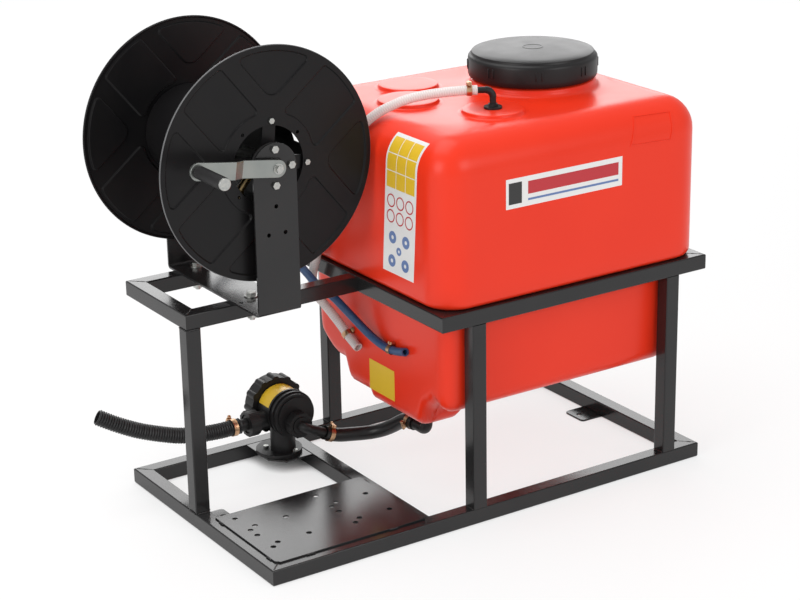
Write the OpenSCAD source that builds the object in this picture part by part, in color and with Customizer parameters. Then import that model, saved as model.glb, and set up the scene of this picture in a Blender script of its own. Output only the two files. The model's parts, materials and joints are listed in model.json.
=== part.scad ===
// Skid-mounted field sprayer unit: welded square-tube skid with a moulded tank, a hose reel on a
// raised shelf, a suction filter and an open plate for a pump and its engine.
// Every place below is measured from the skid's near left lower corner and moved by site() to the
// origin, which lies on the ground, under the middle of the base's cross member. +X runs along the
// skid, +Y to its back and +Z up.

/* [Skid] */
// Length of the base
base_l = 980; // [940:5:1020]
// Width of the base
base_w = 545; // [530:5:570]
// Side of the square tube
tube = 30; // [28:1:34]
// Wall of the square tube
tube_wall = 2; // [1.5:0.5:3]
// Height of the tank ring's top face
ring_top = 425; // [415:5:440]
// Left face of the tank ring
ring_x0 = 367; // [364:1:370]
// Right face of the tank ring
ring_x1 = 985; // [980:1:990]
// Left face of the base's cross member
cross_x = 322; // [318:1:326]
// Left face of the inner tank posts
inner_post_x = 434; // [420:2:450]
// Gap between the outer tank posts and the tank ring's right end
outer_post_in = 65; // [55:1:85]
// Depth of the reel shelf
shelf_d = 242; // [236:1:248]
// Gap between the reel shelf and the tank ring's back face
shelf_in = 18; // [15:1:22]

/* [Pump plate] */
// Length of the plate along the skid
plate_l = 317; // [310:1:324]
// Depth of the plate
plate_d = 228; // [220:1:236]
// Thickness of the plate
plate_t = 3; // [2:0.5:5]
// Width of the plate that lies on the rails
plate_lap = 10; // [6:1:14]
// Radius of the mounting holes
pump_hole_r = 5; // [4:0.25:6]
// Distance of the first hole column from the skid's end
pump_x = 47.5; // [44:0.5:52]
// Distance of the first hole row from the skid's front
pump_y = 80; // [74:0.5:86]
// Distance between the two hole columns
pump_pitch_x = 175; // [170:0.5:180]
// Distance between the outer holes of a column
pump_pitch_y = 142; // [138:0.5:146]
// Distance between the middle holes of a column
pump_mid_y = 25; // [20:0.5:30]
// Length of the small pattern along the skid
foot_pitch_x = 66; // [62:0.5:70]
// Depth of the small pattern
foot_pitch_y = 83.5; // [80:0.5:88]
// Step from a column to its small pattern
foot_step = 16.5; // [14:0.5:20]
// Rise of the small pattern above the first row
foot_rise = 12.5; // [10:0.5:16]

/* [Hold-down lugs] */
// Reach of a lug from its rail
lug_reach = 50; // [44:1:60]
// Width of a lug
lug_w = 60; // [50:1:70]
// Thickness of a lug
lug_t = 4; // [3:0.5:6]
// Centre of the lugs from the skid's front
lug_y = 301; // [290:1:310]
// Distance of a lug's hole from its rail
lug_hole_in = 35; // [28:1:38]
// Radius of a lug's hole
lug_hole_r = 5.5; // [4.5:0.25:6.5]

/* [Hose reel] */
// Height of the reel's axis
reel_z = 700; // [696:1:706]
// Centre of the reel along the skid
reel_x = 145; // [140:1:148]
// Reach of the reel stand past the shelf's front rail
stand_front = 92; // [88:1:96]
// Reach of the reel stand past the shelf's back rail
stand_back = 20; // [16:1:22]
// Width of the stand's strip
stand_w = 88; // [84:1:96]
// Thickness of the stand's strip
stand_t = 4; // [3:0.5:5]
// Outer radius of a flange
flange_r = 215; // [205:1:216]
// Thickness of a flange
flange_t = 6; // [5:0.5:8]
// Radius of a flange's middle opening
flange_hole_r = 71; // [66:1:73]
// Gap between stand and flange
flange_gap = 18; // [17:0.5:20]
// Outer radius of the drum
drum_r = 88; // [86:1:92]
// Wall of the drum
drum_wall = 2.5; // [2:0.5:4]
// Radius of the ring of flange bolts
flange_bolt_pcr = 79; // [78:0.5:80]
// Radius of the shaft
shaft_r = 15; // [13:0.5:17]
// Wall of the shaft
shaft_wall = 3; // [2:0.5:4]
// Radius of the ring of bearing bolts
bearing_bolt_pcr = 33; // [32:0.5:35]

/* [Crank] */
// Distance from the reel's axis to the grip's axis
crank_l = 165; // [150:1:180]
// Width of the crank strip
crank_w = 32; // [30:1:36]
// Thickness of the crank strip
crank_t = 6; // [5:0.5:7]
// Offset of the strip's outer leg
crank_step = 12; // [9:1:15]
// Rise of the crank at rest, in degrees
crank_rise = 8.7; // [0:0.1:20]
// Length of the grip
grip_l = 88; // [80:1:100]
// Radius of the grip
grip_r = 12; // [11:0.5:14]

/* [Tank] */
// Height of the tank's flat top
tank_top = 740; // [734:1:744]
// Gap between the tank and the ring's outer edge
tank_inset = 5; // [4:1:8]
// Rounding of the tank's upper edges
tank_round = 65; // [60:1:70]
// Height of the tank's main floor
tank_floor = 208; // [204:1:214]
// Height of the sump's floor
sump_floor = 155; // [152:1:158]
// Wall of the tank
tank_wall = 5; // [4:0.5:6]
// Centre of the filler along the skid
neck_x = 769; // [760:1:776]
// Radius of the filler's opening
neck_bore_r = 104; // [100:1:105]
// Outer radius of the filler's neck
neck_r = 112; // [111:0.5:113]
// Radius of the round bosses on the tank's top
boss_r = 58; // [54:1:60]
// Centre of the outlet along the skid
outlet_x = 461; // [458:1:464]
// Centre of the outlet from the skid's front
outlet_y = 196; // [193:1:199]

/* [Lid] */
// Outer radius of the lid
lid_r = 124; // [122:1:127]
// Inner radius of the lid's skirt
lid_bore_r = 116; // [115:0.5:117]
// Number of paired grip lugs round the lid
lid_lugs = 8; // [6:1:12]

/* [Suction filter] */
// Axis of the filter along the skid
filter_x = 290; // [288:1:292]
// Distance of the filter's foot from the skid's back
filter_in = 90; // [88:1:92]
// Height of the filter's axis
filter_z = 118; // [114:1:122]
// Radius of the filter's bowl
filter_r = 44; // [43:0.5:45]
// Radius of the filter's cap
cap_r = 60; // [58:0.5:62]
// Height of the two hose ports
port_z = 104; // [102:1:106]
// Reach of the filter's bowl to the front of its foot's middle
bowl_front = 47; // [45:1:49]
// Reach of the filter's bowl to the back of its foot's middle
bowl_back = 45; // [43:1:48]

/* [Hoses] */
// Outer radius of the ribbed suction hose
suction_r = 16; // [15:0.5:17]
// Outer radius of the hose between filter and tank
link_r = 14; // [13:0.5:15]
// Outer radius of the clear hose
clear_r = 9; // [8:0.5:10]
// Outer radius of the blue hose
blue_r = 8; // [7:0.5:9]

/* [Fits] */
// Radial clearance of a shaft in its bearing
run_gap = 0.05; // [0.02:0.01:0.1]
// Gap between faces that move past each other
face_gap = 0.3; // [0.2:0.05:0.4]
// Radial clearance of a bolt in its hole
bolt_gap = 0.5; // [0.3:0.1:1]
// Gap between a fitting's end and its hose
hose_gap = 0.5; // [0.2:0.1:1]

/* [Hidden] */
$fn = 48;
eps = 0.01;
cut = 1;

paint = [0.16, 0.16, 0.17];
black = [0.08, 0.08, 0.085];
zinc = [0.78, 0.78, 0.76];
brass = [0.72, 0.58, 0.32];
red = [0.9, 0.24, 0.16];
clear_pvc = [0.86, 0.86, 0.84];
blue = [0.12, 0.22, 0.42];

// Heights and centres that follow from the sizes above
shelf_y1 = base_w - shelf_in;
shelf_y0 = shelf_y1 - shelf_d;
outer_post_x = ring_x1 - tube - outer_post_in;
ring_l = ring_x1 - ring_x0;
post_h = ring_top - 2 * tube;
mid_y = base_w / 2;
bearing_l = 14;
bearing_flange_t = 8;
bearing_r = stand_w / 2 - 1;
bearing_boss_r = shaft_r + 10;
stand_y0 = shelf_y0 - stand_front;
stand_y1 = shelf_y1 + stand_back;
stand_d = stand_y1 - stand_y0;
flange_y0 = stand_y0 + stand_t + flange_gap;
flange_y1 = stand_y1 - stand_t - flange_gap;
hex_m8 = 6.5;
head_m8 = 5.5;
bolt_m8 = 4;
m6_r = 3;
bolt_m10 = 5;
hex_m10 = 8.5;
filter_mid_y = base_w - filter_in;
bowl_y0 = filter_mid_y - bowl_front;
bowl_y1 = filter_mid_y + bowl_back;

// ---------- helpers ----------

module site(x, y, z) {
    translate([x - cross_x - tube / 2, y - mid_y, z]) children();
}

// Cylinder along +Y
module along_y(r, l, sides = 48) {
    rotate([-90, 0, 0]) cylinder(r = r, h = l, $fn = sides);
}

// Cylinder along +X
module along_x(r, l, sides = 48) {
    rotate([0, 90, 0]) cylinder(r = r, h = l, $fn = sides);
}

module ring_y(r_out, r_in, l) {
    difference() {
        along_y(r_out, l);
        translate([0, -cut, 0]) along_y(r_in, l + 2 * cut);
    }
}

module ring_z(r_out, r_in, h) {
    difference() {
        cylinder(r = r_out, h = h);
        translate([0, 0, -cut]) cylinder(r = r_in, h = h + 2 * cut);
    }
}

// Square tube along +X, outer face at y = 0, mitred at either end when asked
module rail(l, m0, m1) {
    run = 5;
    in0 = m0 ? tube_wall : 0;
    in1 = m0 ? tube - tube_wall : 0;
    out0 = m1 ? tube_wall : 0;
    out1 = m1 ? tube - tube_wall : 0;
    color(paint) difference() {
        linear_extrude(tube)
            polygon([[0, 0], [l, 0], [l - (m1 ? tube : 0), tube], [m0 ? tube : 0, tube]]);
        translate([0, 0, tube_wall]) linear_extrude(tube - 2 * tube_wall)
            polygon([
                [in0 - run, tube_wall], [l - out0 + run, tube_wall],
                [l - out1 + run, tube - tube_wall], [in1 - run, tube - tube_wall]
            ]);
    }
}

// Upright square tube
module post() {
    color(paint) difference() {
        cube([tube, tube, post_h]);
        translate([tube_wall, tube_wall, -cut])
            cube([tube - 2 * tube_wall, tube - 2 * tube_wall, post_h + 2 * cut]);
    }
}

// Hexagon head bolt: shank up to z = 0, head above it
module hex_bolt(shank_r, shank_l, hex_r, head_h) {
    translate([0, 0, -shank_l]) cylinder(r = shank_r, h = shank_l + eps, $fn = 24);
    cylinder(r = hex_r / cos(30), h = head_h, $fn = 6);
}

// Worm-drive clamp round a hose along +X
module hose_clamp(hose_r) {
    band_w = 10;
    band_t = 1.2;
    color(zinc) difference() {
        union() {
            translate([-band_w / 2, 0, 0]) along_x(hose_r + bolt_gap + band_t, band_w);
            translate([-band_w / 2 - 1, -6, hose_r]) cube([band_w + 2, 12, 7]);
            translate([0, -10, hose_r + 4.5]) along_y(3.5, 20, 24);
        }
        translate([-band_w, 0, 0]) along_x(hose_r + bolt_gap, 2 * band_w);
    }
}

// ---------- swept tubes ----------

function unit(v) = v / norm(v);

function tangents(p) = [
    for (i = [0:len(p) - 1]) unit(p[min(i + 1, len(p) - 1)] - p[max(i - 1, 0)])
];

// Carries a side vector along the tangents without twist
function carried(t, u, i = 0) =
    i == len(t) ? [] :
    let (v = unit(u - (u * t[i]) * t[i])) concat([v], carried(t, v, i + 1));

module hose(route, r, side) {
    sides = 10;
    n = len(route);
    t = tangents(route);
    a = carried(t, side);
    rings = [
        for (i = [0:n - 1]) let (b = cross(t[i], a[i]))
            for (k = [0:sides - 1])
                route[i] + r * (cos(360 * k / sides) * a[i] + sin(360 * k / sides) * b)
    ];
    walls = [
        for (i = [0:n - 2]) for (k = [0:sides - 1])
            let (k2 = (k + 1) % sides)
                [i * sides + k, (i + 1) * sides + k, (i + 1) * sides + k2, i * sides + k2]
    ];
    near = [for (k = [0:sides - 1]) k];
    far = [for (k = [sides - 1:-1:0]) (n - 1) * sides + k];
    site(0, 0, 0) polyhedron(rings, concat(walls, [near, far]), convexity = 6);
}

clear_route = [
    [560, 162, 783], [542, 172, 783], [523, 183, 782], [504, 195, 780], [484, 208, 777],
    [462, 220, 773], [442, 231, 767], [423, 242, 758], [405, 252, 748], [388, 261, 735],
    [375, 270, 720], [364, 280, 700], [357, 292, 676], [352, 305, 649], [350, 318, 620],
    [348, 332, 590], [346, 346, 560], [345, 360, 530], [345, 374, 500], [345, 386, 472],
    [346, 397, 446], [347, 410, 418], [348, 421, 392], [351, 426, 370], [357, 422, 352],
    [367, 410, 334], [377, 395, 314], [385, 379, 295], [389, 361, 279], [391, 344, 269],
    [391, 328, 263]
];

blue_route = [
    [145, 576, 666], [146, 576, 640], [149, 577, 612], [156, 578, 584], [168, 578, 556],
    [184, 576, 530], [204, 570, 507], [226, 561, 488], [248, 548, 473], [268, 531, 461],
    [285, 511, 453], [298, 489, 446], [308, 466, 439], [315, 442, 430], [320, 420, 421],
    [325, 400, 408], [331, 383, 394], [340, 368, 382], [352, 352, 369], [364, 334, 350],
    [374, 315, 332], [382, 294, 316], [388, 270, 303], [391, 245, 296], [392, 220, 294],
    [393, 192, 297], [393, 164, 304]
];

// Measured in depth from the filter's foot
suction_points = [
    [190, 0, 104], [170, 0, 104], [150, 0, 104], [126, 1, 105], [102, 2, 107], [78, 5, 110],
    [54, 8, 115], [30, 12, 122], [6, 16, 130], [-16, 21, 138], [-38, 26, 148], [-58, 32, 158],
    [-76, 38, 168], [-91, 43, 177]
];
suction_route = [for (p = suction_points) p + [0, filter_mid_y, 0]];

// Its near end goes with the filter, and its far end stays at the tank's outlet
link_points = [
    [333, 370, 84], [349, 370, 76.5], [368, 365, 72], [388, 358, 71], [408, 349, 71],
    [427, 336, 74], [442, 319, 82], [452, 299, 95], [458, 281, 108], [461, 266, 116],
    [461, 252, 117], [461, 238, 117]
];
link_span = len(link_points) - 1;
link_filter_y = 455;
link_route = [
    for (i = [0:link_span])
        link_points[i] + [0, (filter_mid_y - link_filter_y) * (1 - i / link_span), 0]
];

// ---------- skid ----------

module base_rail_front() {
    site(0, 0, 0) rail(base_l, true, true);
}

module base_rail_back() {
    site(base_l, base_w, 0) rotate([0, 0, 180]) rail(base_l, true, true);
}

module base_rail_left() {
    site(0, base_w, 0) rotate([0, 0, -90]) rail(base_w, true, true);
}

module base_rail_right() {
    site(base_l, 0, 0) rotate([0, 0, 90]) rail(base_w, true, true);
}

module base_cross_member() {
    site(cross_x + tube, tube, 0) rotate([0, 0, 90]) rail(base_w - 2 * tube, false, false);
}

module tank_post_front_left() {
    site(inner_post_x, 0, tube) post();
}

module tank_post_front_right() {
    site(outer_post_x, 0, tube) post();
}

module tank_post_back_left() {
    site(inner_post_x, base_w - tube, tube) post();
}

module tank_post_back_right() {
    site(outer_post_x, base_w - tube, tube) post();
}

module shelf_post() {
    site(0, shelf_y0, tube) post();
}

module ring_rail_front() {
    site(ring_x0, 0, ring_top - tube) rail(ring_l, true, true);
}

module ring_rail_back() {
    site(ring_x1, base_w, ring_top - tube) rotate([0, 0, 180]) rail(ring_l, true, true);
}

module ring_rail_left() {
    site(ring_x0, base_w, ring_top - tube) rotate([0, 0, -90]) rail(base_w, true, true);
}

module ring_rail_right() {
    site(ring_x1, 0, ring_top - tube) rotate([0, 0, 90]) rail(base_w, true, true);
}

// The stand's bolt goes right through the shelf's rails
module stand_bolt_hole(y) {
    site(reel_x, y, ring_top - tube - cut)
        cylinder(r = bolt_m10 + bolt_gap, h = tube + 2 * cut, $fn = 24);
}

stand_bolt_y = [shelf_y0 + tube / 2, shelf_y1 - tube / 2];

module shelf_rail_front() {
    color(paint) difference() {
        site(0, shelf_y0, ring_top - tube) rail(ring_x0, true, false);
        stand_bolt_hole(stand_bolt_y[0]);
    }
}

module shelf_rail_back() {
    color(paint) difference() {
        site(ring_x0, shelf_y1, ring_top - tube) rotate([0, 0, 180]) rail(ring_x0, false, true);
        stand_bolt_hole(stand_bolt_y[1]);
    }
}

module shelf_rail_left() {
    site(0, shelf_y1, ring_top - tube) rotate([0, 0, -90]) rail(shelf_d, true, true);
}

// One column of four holes and its small pattern of four
module pump_holes() {
    mid = pump_pitch_y / 2;
    for (y = [0, mid - pump_mid_y / 2, mid + pump_mid_y / 2, pump_pitch_y])
        translate([0, y, -cut]) cylinder(r = pump_hole_r, h = plate_t + 2 * cut, $fn = 32);
    for (x = [0, foot_pitch_x], y = [0, foot_pitch_y])
        translate([foot_step + x, foot_rise + y, -cut])
            cylinder(r = pump_hole_r, h = plate_t + 2 * cut, $fn = 32);
}

module pump_plate() {
    corner = 8;
    color(paint) difference() {
        site(tube - plate_lap, tube - plate_lap, tube) linear_extrude(plate_t)
            polygon([
                [corner, 0], [plate_l, 0], [plate_l, plate_d], [0, plate_d], [0, corner]
            ]);
        for (x = [0, pump_pitch_x]) site(pump_x + x, pump_y, tube) pump_holes();
    }
}

module lug_shape() {
    r = 8;
    difference() {
        union() {
            cube([lug_reach - r, lug_w, lug_t]);
            translate([0, r, 0]) cube([lug_reach, lug_w - 2 * r, lug_t]);
            for (y = [r, lug_w - r])
                translate([lug_reach - r, y, 0]) cylinder(r = r, h = lug_t, $fn = 32);
        }
        translate([lug_hole_in, lug_w / 2, -cut])
            cylinder(r = lug_hole_r, h = lug_t + 2 * cut, $fn = 32);
    }
}

module hold_down_lugs() {
    color(paint) {
        site(tube, lug_y - lug_w / 2, 0) lug_shape();
        site(base_l - tube, lug_y + lug_w / 2, 0) rotate([0, 0, 180]) lug_shape();
    }
}

// ---------- filter plate ----------

filter_plate_w = 85;
filter_plate_d = 115;
filter_plate_t = 4;
filter_bolt_at = [[-34, 14], [4, -37]];
filter_foot_r = 46;
filter_foot_t = 7;
filter_foot_x = filter_x - 12;

module filter_bolt_holes(h) {
    for (p = filter_bolt_at)
        site(filter_x + p.x, filter_mid_y + p.y, tube - filter_plate_t - cut)
            cylinder(r = m6_r + bolt_gap, h = h, $fn = 24);
}

module filter_plate() {
    color(paint) difference() {
        site(cross_x - filter_plate_w, base_w - tube - filter_plate_d, tube - filter_plate_t)
            linear_extrude(filter_plate_t)
                polygon([
                    [25, 0], [filter_plate_w, 0], [filter_plate_w, filter_plate_d],
                    [0, filter_plate_d], [0, 30]
                ]);
        filter_bolt_holes(filter_plate_t + 2 * cut);
    }
}

// ---------- reel stand ----------

module reel_stand() {
    top = reel_z - ring_top;
    bend = 8;
    spare_r = 4;
    color(black) difference() {
        // Bent strip, seen from its end, cut to the width and round top of its uprights
        intersection() {
            site(reel_x - stand_w / 2, stand_y0, ring_top) rotate([90, 0, 90])
                linear_extrude(stand_w) union() {
                    translate([bend, 0]) square([stand_d - 2 * bend, stand_t]);
                    for (y = [0, stand_d - stand_t])
                        translate([y, bend]) square([stand_t, top + stand_w / 2]);
                    for (side = [0, 1]) translate([side * stand_d, 0]) mirror([side, 0])
                        intersection() {
                            square([bend, bend]);
                            translate([bend, bend]) difference() {
                                circle(r = bend);
                                circle(r = bend - stand_t);
                            }
                        }
                }
            site(reel_x, stand_y0 - cut, ring_top) rotate([-90, 0, 0]) union() {
                translate([-stand_w / 2, -top, 0]) cube([stand_w, top, stand_d + 2 * cut]);
                translate([0, -top, 0]) cylinder(r = stand_w / 2, h = stand_d + 2 * cut);
            }
        }
        site(reel_x, stand_y0 - cut, reel_z) along_y(shaft_r + 3, stand_d + 2 * cut);
        for (a = [0:90:270])
            site(reel_x + bearing_bolt_pcr * cos(a), stand_y0 - cut,
                 reel_z + bearing_bolt_pcr * sin(a))
                along_y(bolt_m8 + bolt_gap, stand_d + 2 * cut, 24);
        // Spare holes for a brake and for other reels
        for (p = [[0, 72], [-17, 123], [17, 123]])
            site(reel_x + p.x, stand_y0 - cut, reel_z - p.y)
                along_y(spare_r, stand_t + 2 * cut, 24);
        for (y = stand_bolt_y)
            site(reel_x, y, ring_top - cut)
                cylinder(r = bolt_m10 + bolt_gap, h = stand_t + 2 * cut, $fn = 24);
        for (side = [-1, 1])
            site(reel_x + side * 34, stand_bolt_y[0] - 22, ring_top - cut)
                cylinder(r = spare_r, h = stand_t + 2 * cut, $fn = 24);
    }
}

washer_t = 2;

module stand_bolts() {
    color(zinc) for (y = stand_bolt_y)
        site(reel_x, y, ring_top + stand_t + washer_t)
            hex_bolt(bolt_m10, tube + stand_t + washer_t + 12, hex_m10, 6.5);
}

module stand_washers() {
    color(zinc) for (y = stand_bolt_y)
        site(reel_x, y, ring_top + stand_t) ring_z(13, bolt_m10 + bolt_gap, washer_t);
}

module stand_nuts() {
    nut_h = 8;
    color(zinc) for (y = stand_bolt_y)
        site(reel_x, y, ring_top - tube - nut_h) difference() {
            cylinder(r = hex_m10 / cos(30), h = nut_h, $fn = 6);
            translate([0, 0, -cut]) cylinder(r = bolt_m10 + 0.05, h = nut_h + 2 * cut);
        }
}

// Flanged bearing on the inner face of an upright
module bearing() {
    difference() {
        union() {
            along_y(bearing_r, bearing_flange_t);
            along_y(bearing_boss_r, bearing_l);
        }
        translate([0, -cut, 0]) along_y(shaft_r + run_gap, bearing_l + 2 * cut);
        for (a = [0:90:270])
            translate([bearing_bolt_pcr * cos(a), -cut, bearing_bolt_pcr * sin(a)])
                along_y(bolt_m8 + run_gap, bearing_flange_t + 2 * cut, 24);
    }
}

module shaft_bearings() {
    color(black) {
        site(reel_x, stand_y0 + stand_t, reel_z) bearing();
        site(reel_x, stand_y1 - stand_t, reel_z) rotate([0, 0, 180]) bearing();
    }
}

module bearing_bolts() {
    reach = stand_t + bearing_flange_t;
    color(zinc) for (a = [0:90:270], side = [0, 1])
        site(reel_x + bearing_bolt_pcr * cos(a), side == 0 ? stand_y0 : stand_y1,
             reel_z + bearing_bolt_pcr * sin(a))
            rotate([side == 0 ? 90 : -90, 0, 0]) hex_bolt(bolt_m8, reach, hex_m8, head_m8);
}

// ---------- reel ----------

crank_gap = 7;
crank_y = stand_y0 - crank_gap - crank_t;
swivel_y = stand_y1 + 9;
swivel_l = 34;

module reel_shaft() {
    // The front end is closed and tapped for the crank's bolt
    plug_l = 30;
    end_y = swivel_y + 22;
    color(zinc) site(reel_x, crank_y + crank_t, reel_z) difference() {
        along_y(shaft_r, end_y - crank_y - crank_t);
        translate([0, plug_l, 0]) along_y(shaft_r - shaft_wall, end_y);
        translate([0, -cut, 0]) along_y(bolt_m8 + 0.05, 20 + cut, 24);
        // Side port where the outlet pipe joins
        translate([0, outlet_at - crank_y - crank_t, 0]) rotate([0, -outlet_angle, 0])
            along_x(outlet_r, shaft_r + cut, 32);
    }
}

outlet_angle = 228;
outlet_r = 7;
outlet_at = flange_y0 + 32;
bolt_angle = 84;
spider_t = 4;

// Four-armed spider that carries drum and flange
module spider() {
    arm_w = 26;
    hub_l = spider_t + 14;
    arm_l = sqrt((drum_r - drum_wall) ^ 2 - (arm_w / 2) ^ 2) - 0.3;
    difference() {
        union() {
            along_y(shaft_r + 9, hub_l);
            for (a = [0:90:270]) rotate([0, -bolt_angle - a, 0])
                translate([0, 0, -arm_w / 2]) cube([arm_l, spider_t, arm_w]);
        }
        translate([0, -cut, 0]) along_y(shaft_r + run_gap, hub_l + 2 * cut);
        for (a = [0:90:270]) rotate([0, -bolt_angle - a, 0])
            translate([flange_bolt_pcr, -cut, 0])
                along_y(m6_r + run_gap, spider_t + 2 * cut, 24);
    }
}

module reel_spiders() {
    color(black) {
        site(reel_x, flange_y0 + flange_t, reel_z) spider();
        site(reel_x, flange_y1 - flange_t, reel_z) mirror([0, 1, 0]) spider();
    }
}

module reel_drum() {
    slot_w = 54;
    // Angle, start and length of the outlet pipe's slot and of the open slot on the other side
    slots = [[outlet_angle, 10, 44], [30, 25, 24]];
    l = flange_y1 - flange_y0 - 2 * flange_t;
    color(black) site(reel_x, flange_y0 + flange_t, reel_z) difference() {
        ring_y(drum_r, drum_r - drum_wall, l);
        for (s = slots) rotate([0, -s[0], 0])
            translate([drum_r / 2, s[1], -slot_w / 2]) cube([drum_r, s[2], slot_w]);
    }
}

// Pressed panels of a flange, seen along its axis: four wide ones, and four that narrow to the hub
module panels() {
    panel_in = 94;
    panel_out = flange_r - 11;
    panel_w = 100;
    tip = 118;
    intersection() {
        circle(r = panel_out, $fn = 96);
        union() for (a = [0:90:270]) {
            rotate(bolt_angle + 45 + a) difference() {
                translate([0, -panel_w / 2]) square([flange_r, panel_w]);
                circle(r = panel_in);
            }
            rotate(bolt_angle + a)
                polygon([[tip, 0], [flange_r, flange_r - tip], [flange_r, tip - flange_r]]);
        }
    }
}

module flange() {
    rim_w = 6;
    press = 1.5;
    difference() {
        union() {
            along_y(flange_r, flange_t - 2);
            ring_y(flange_r, flange_r - rim_w, flange_t);
            ring_y(drum_r + 8, flange_hole_r, flange_t);
        }
        translate([0, -cut, 0]) along_y(flange_hole_r, flange_t + 2 * cut);
        for (a = [0:45:315]) rotate([0, -bolt_angle - a, 0])
            translate([flange_bolt_pcr, -cut, 0]) along_y(m6_r + 0.3, flange_t + 2 * cut, 24);
        rotate([90, 0, 0]) translate([0, 0, -press]) linear_extrude(press + cut) panels();
    }
}

module reel_flange_front() {
    color(black) site(reel_x, flange_y0, reel_z) flange();
}

module reel_flange_back() {
    color(black) site(reel_x, flange_y1, reel_z) mirror([0, 1, 0]) flange();
}

module flange_bolts() {
    color(zinc) for (a = [0:90:270]) for (side = [0, 1])
        site(reel_x + flange_bolt_pcr * cos(bolt_angle + a), side == 0 ? flange_y0 : flange_y1,
             reel_z + flange_bolt_pcr * sin(bolt_angle + a))
            rotate([side == 0 ? 90 : -90, 0, 0])
                hex_bolt(m6_r, flange_t + spider_t, 5, 4);
}

// Pipe that leads the water from the shaft out through the drum
module reel_outlet() {
    reach = drum_r - 8;
    color(brass) site(reel_x, outlet_at, reel_z) rotate([0, -outlet_angle, 0]) difference() {
        union() {
            translate([shaft_r - 1, 0, 0]) along_x(outlet_r - eps, reach - shaft_r, 32);
            translate([reach - 16, 0, 0]) along_x(outlet_r + 3, 12, 6);
        }
        along_x(outlet_r - 2.5, reach + cut, 32);
        translate([0, -shaft_r - cut, 0]) along_y(shaft_r, 2 * shaft_r + 2 * cut);
    }
}

// Swivel joint on the shaft's back end, with its barb turned down
module swivel_inlet() {
    drop = 14;
    barb_y = 20;
    barb_l = reel_z - drop - blue_route[0].z - hose_gap;
    color(brass) site(reel_x, swivel_y, reel_z) difference() {
        union() {
            along_y(shaft_r + 4, swivel_l);
            translate([0, barb_y, -drop - barb_l])
                cylinder(r = blue_r - 1.5, h = barb_l + 2, $fn = 32);
            translate([0, barb_y, -drop - 12])
                cylinder(r = 11, h = drop, $fn = 6);
        }
        translate([0, -cut, 0]) along_y(shaft_r + run_gap, 22 + face_gap + cut);
        translate([0, barb_y, -drop - barb_l - cut])
            cylinder(r = blue_r - 4, h = barb_l + 15, $fn = 32);
    }
}

// ---------- crank ----------

// Puts its children at the shaft's front end, with +X along the crank
module at_crank() {
    site(reel_x, crank_y, reel_z) rotate([0, 180 + crank_rise, 0]) children();
}

module crank_arm() {
    half = crank_w / 2;
    bend_x = 72;
    bend_l = 20;
    color(zinc) at_crank() difference() {
        intersection() {
            translate([0, 0, -half]) linear_extrude(crank_w)
                polygon([
                    [-half, 0], [bend_x, 0], [bend_x + bend_l, -crank_step],
                    [crank_l + half, -crank_step], [crank_l + half, crank_t - crank_step],
                    [bend_x + bend_l - 2, crank_t - crank_step], [bend_x - 2, crank_t],
                    [-half, crank_t]
                ]);
            translate([0, -crank_step - cut, 0]) union() {
                along_y(half, crank_step + crank_t + 2 * cut);
                translate([crank_l, 0, 0]) along_y(half, crank_step + crank_t + 2 * cut);
                translate([0, 0, -half]) cube([crank_l, crank_step + crank_t + 2 * cut, crank_w]);
            }
        }
        translate([0, -cut, 0]) along_y(bolt_m8 + bolt_gap, crank_t + 2 * cut, 24);
        translate([crank_l, -crank_step - cut, 0])
            along_y(pin_r + run_gap, crank_t + 2 * cut, 32);
    }
}

module crank_bolt() {
    color(zinc) at_crank() rotate([90, 0, 0]) union() {
        cylinder(r = 10, h = 1.6, $fn = 32);
        translate([0, 0, 1.6]) hex_bolt(bolt_m8, crank_t + 1.6 + 18, hex_m8, head_m8);
    }
}

pin_r = 5;
grip_y = -crank_step - face_gap - grip_l;

// The grip's fixed pin, with its round head outside and its rivet end behind the strip
module grip_pin() {
    head_t = 5;
    color(zinc) at_crank() translate([crank_l, 0, 0]) {
        translate([0, grip_y - face_gap - head_t, 0]) along_y(grip_r - 1, head_t);
        translate([0, grip_y - face_gap - eps, 0])
            along_y(pin_r, -grip_y + face_gap - crank_step + crank_t + eps, 32);
        translate([0, crank_t - crank_step, 0]) along_y(8, 3, 32);
    }
}

module crank_grip() {
    color(black) at_crank() translate([crank_l, grip_y, 0]) difference() {
        along_y(grip_r, grip_l);
        translate([0, -cut, 0]) along_y(pin_r + run_gap, grip_l + 2 * cut, 32);
    }
}

// ---------- tank ----------

// Corner points of a rectangle, inset by r
function corners(x0, x1, y0, y1, r) = [
    for (x = [x0 + r, x1 - r], y = [y0 + r, y1 - r]) [x, y]
];

boss_x = 585;
boss_step_y = 125;
boss_h = 8;
boss_at = [
    [boss_x, mid_y - boss_step_y], [boss_x - 18, mid_y + 130.5], [boss_x - 84, mid_y + 31.5]
];
lower_gap = 5;
lower_r = 32;
taper = 14;
corner_lift = 26;
sump_r = 22;
outlet_r_in = 11;
plinth_h = 18;
neck_h = 60;
plinth_r = lid_r - 3;

upper_at = corners(ring_x0 + tank_inset, ring_x1 - tank_inset, tank_inset, base_w - tank_inset,
                   tank_round);
lower_x0 = ring_x0 + tube + lower_gap;
lower_x1 = ring_x1 - tube - lower_gap;
lower_y0 = tube + lower_gap;
lower_y1 = base_w - tube - lower_gap;
lower_at = corners(lower_x0, lower_x1, lower_y0, lower_y1, lower_r);
floor_at = corners(lower_x0 + 2, lower_x1 - taper, lower_y0 + taper / 2, lower_y1 - taper, lower_r);
sump_top_at = corners(lower_x0 + 1, lower_x0 + 150, 95, 398, sump_r);
sump_at = corners(lower_x0 + 1, lower_x0 + 118, 128, 382, sump_r);

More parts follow.
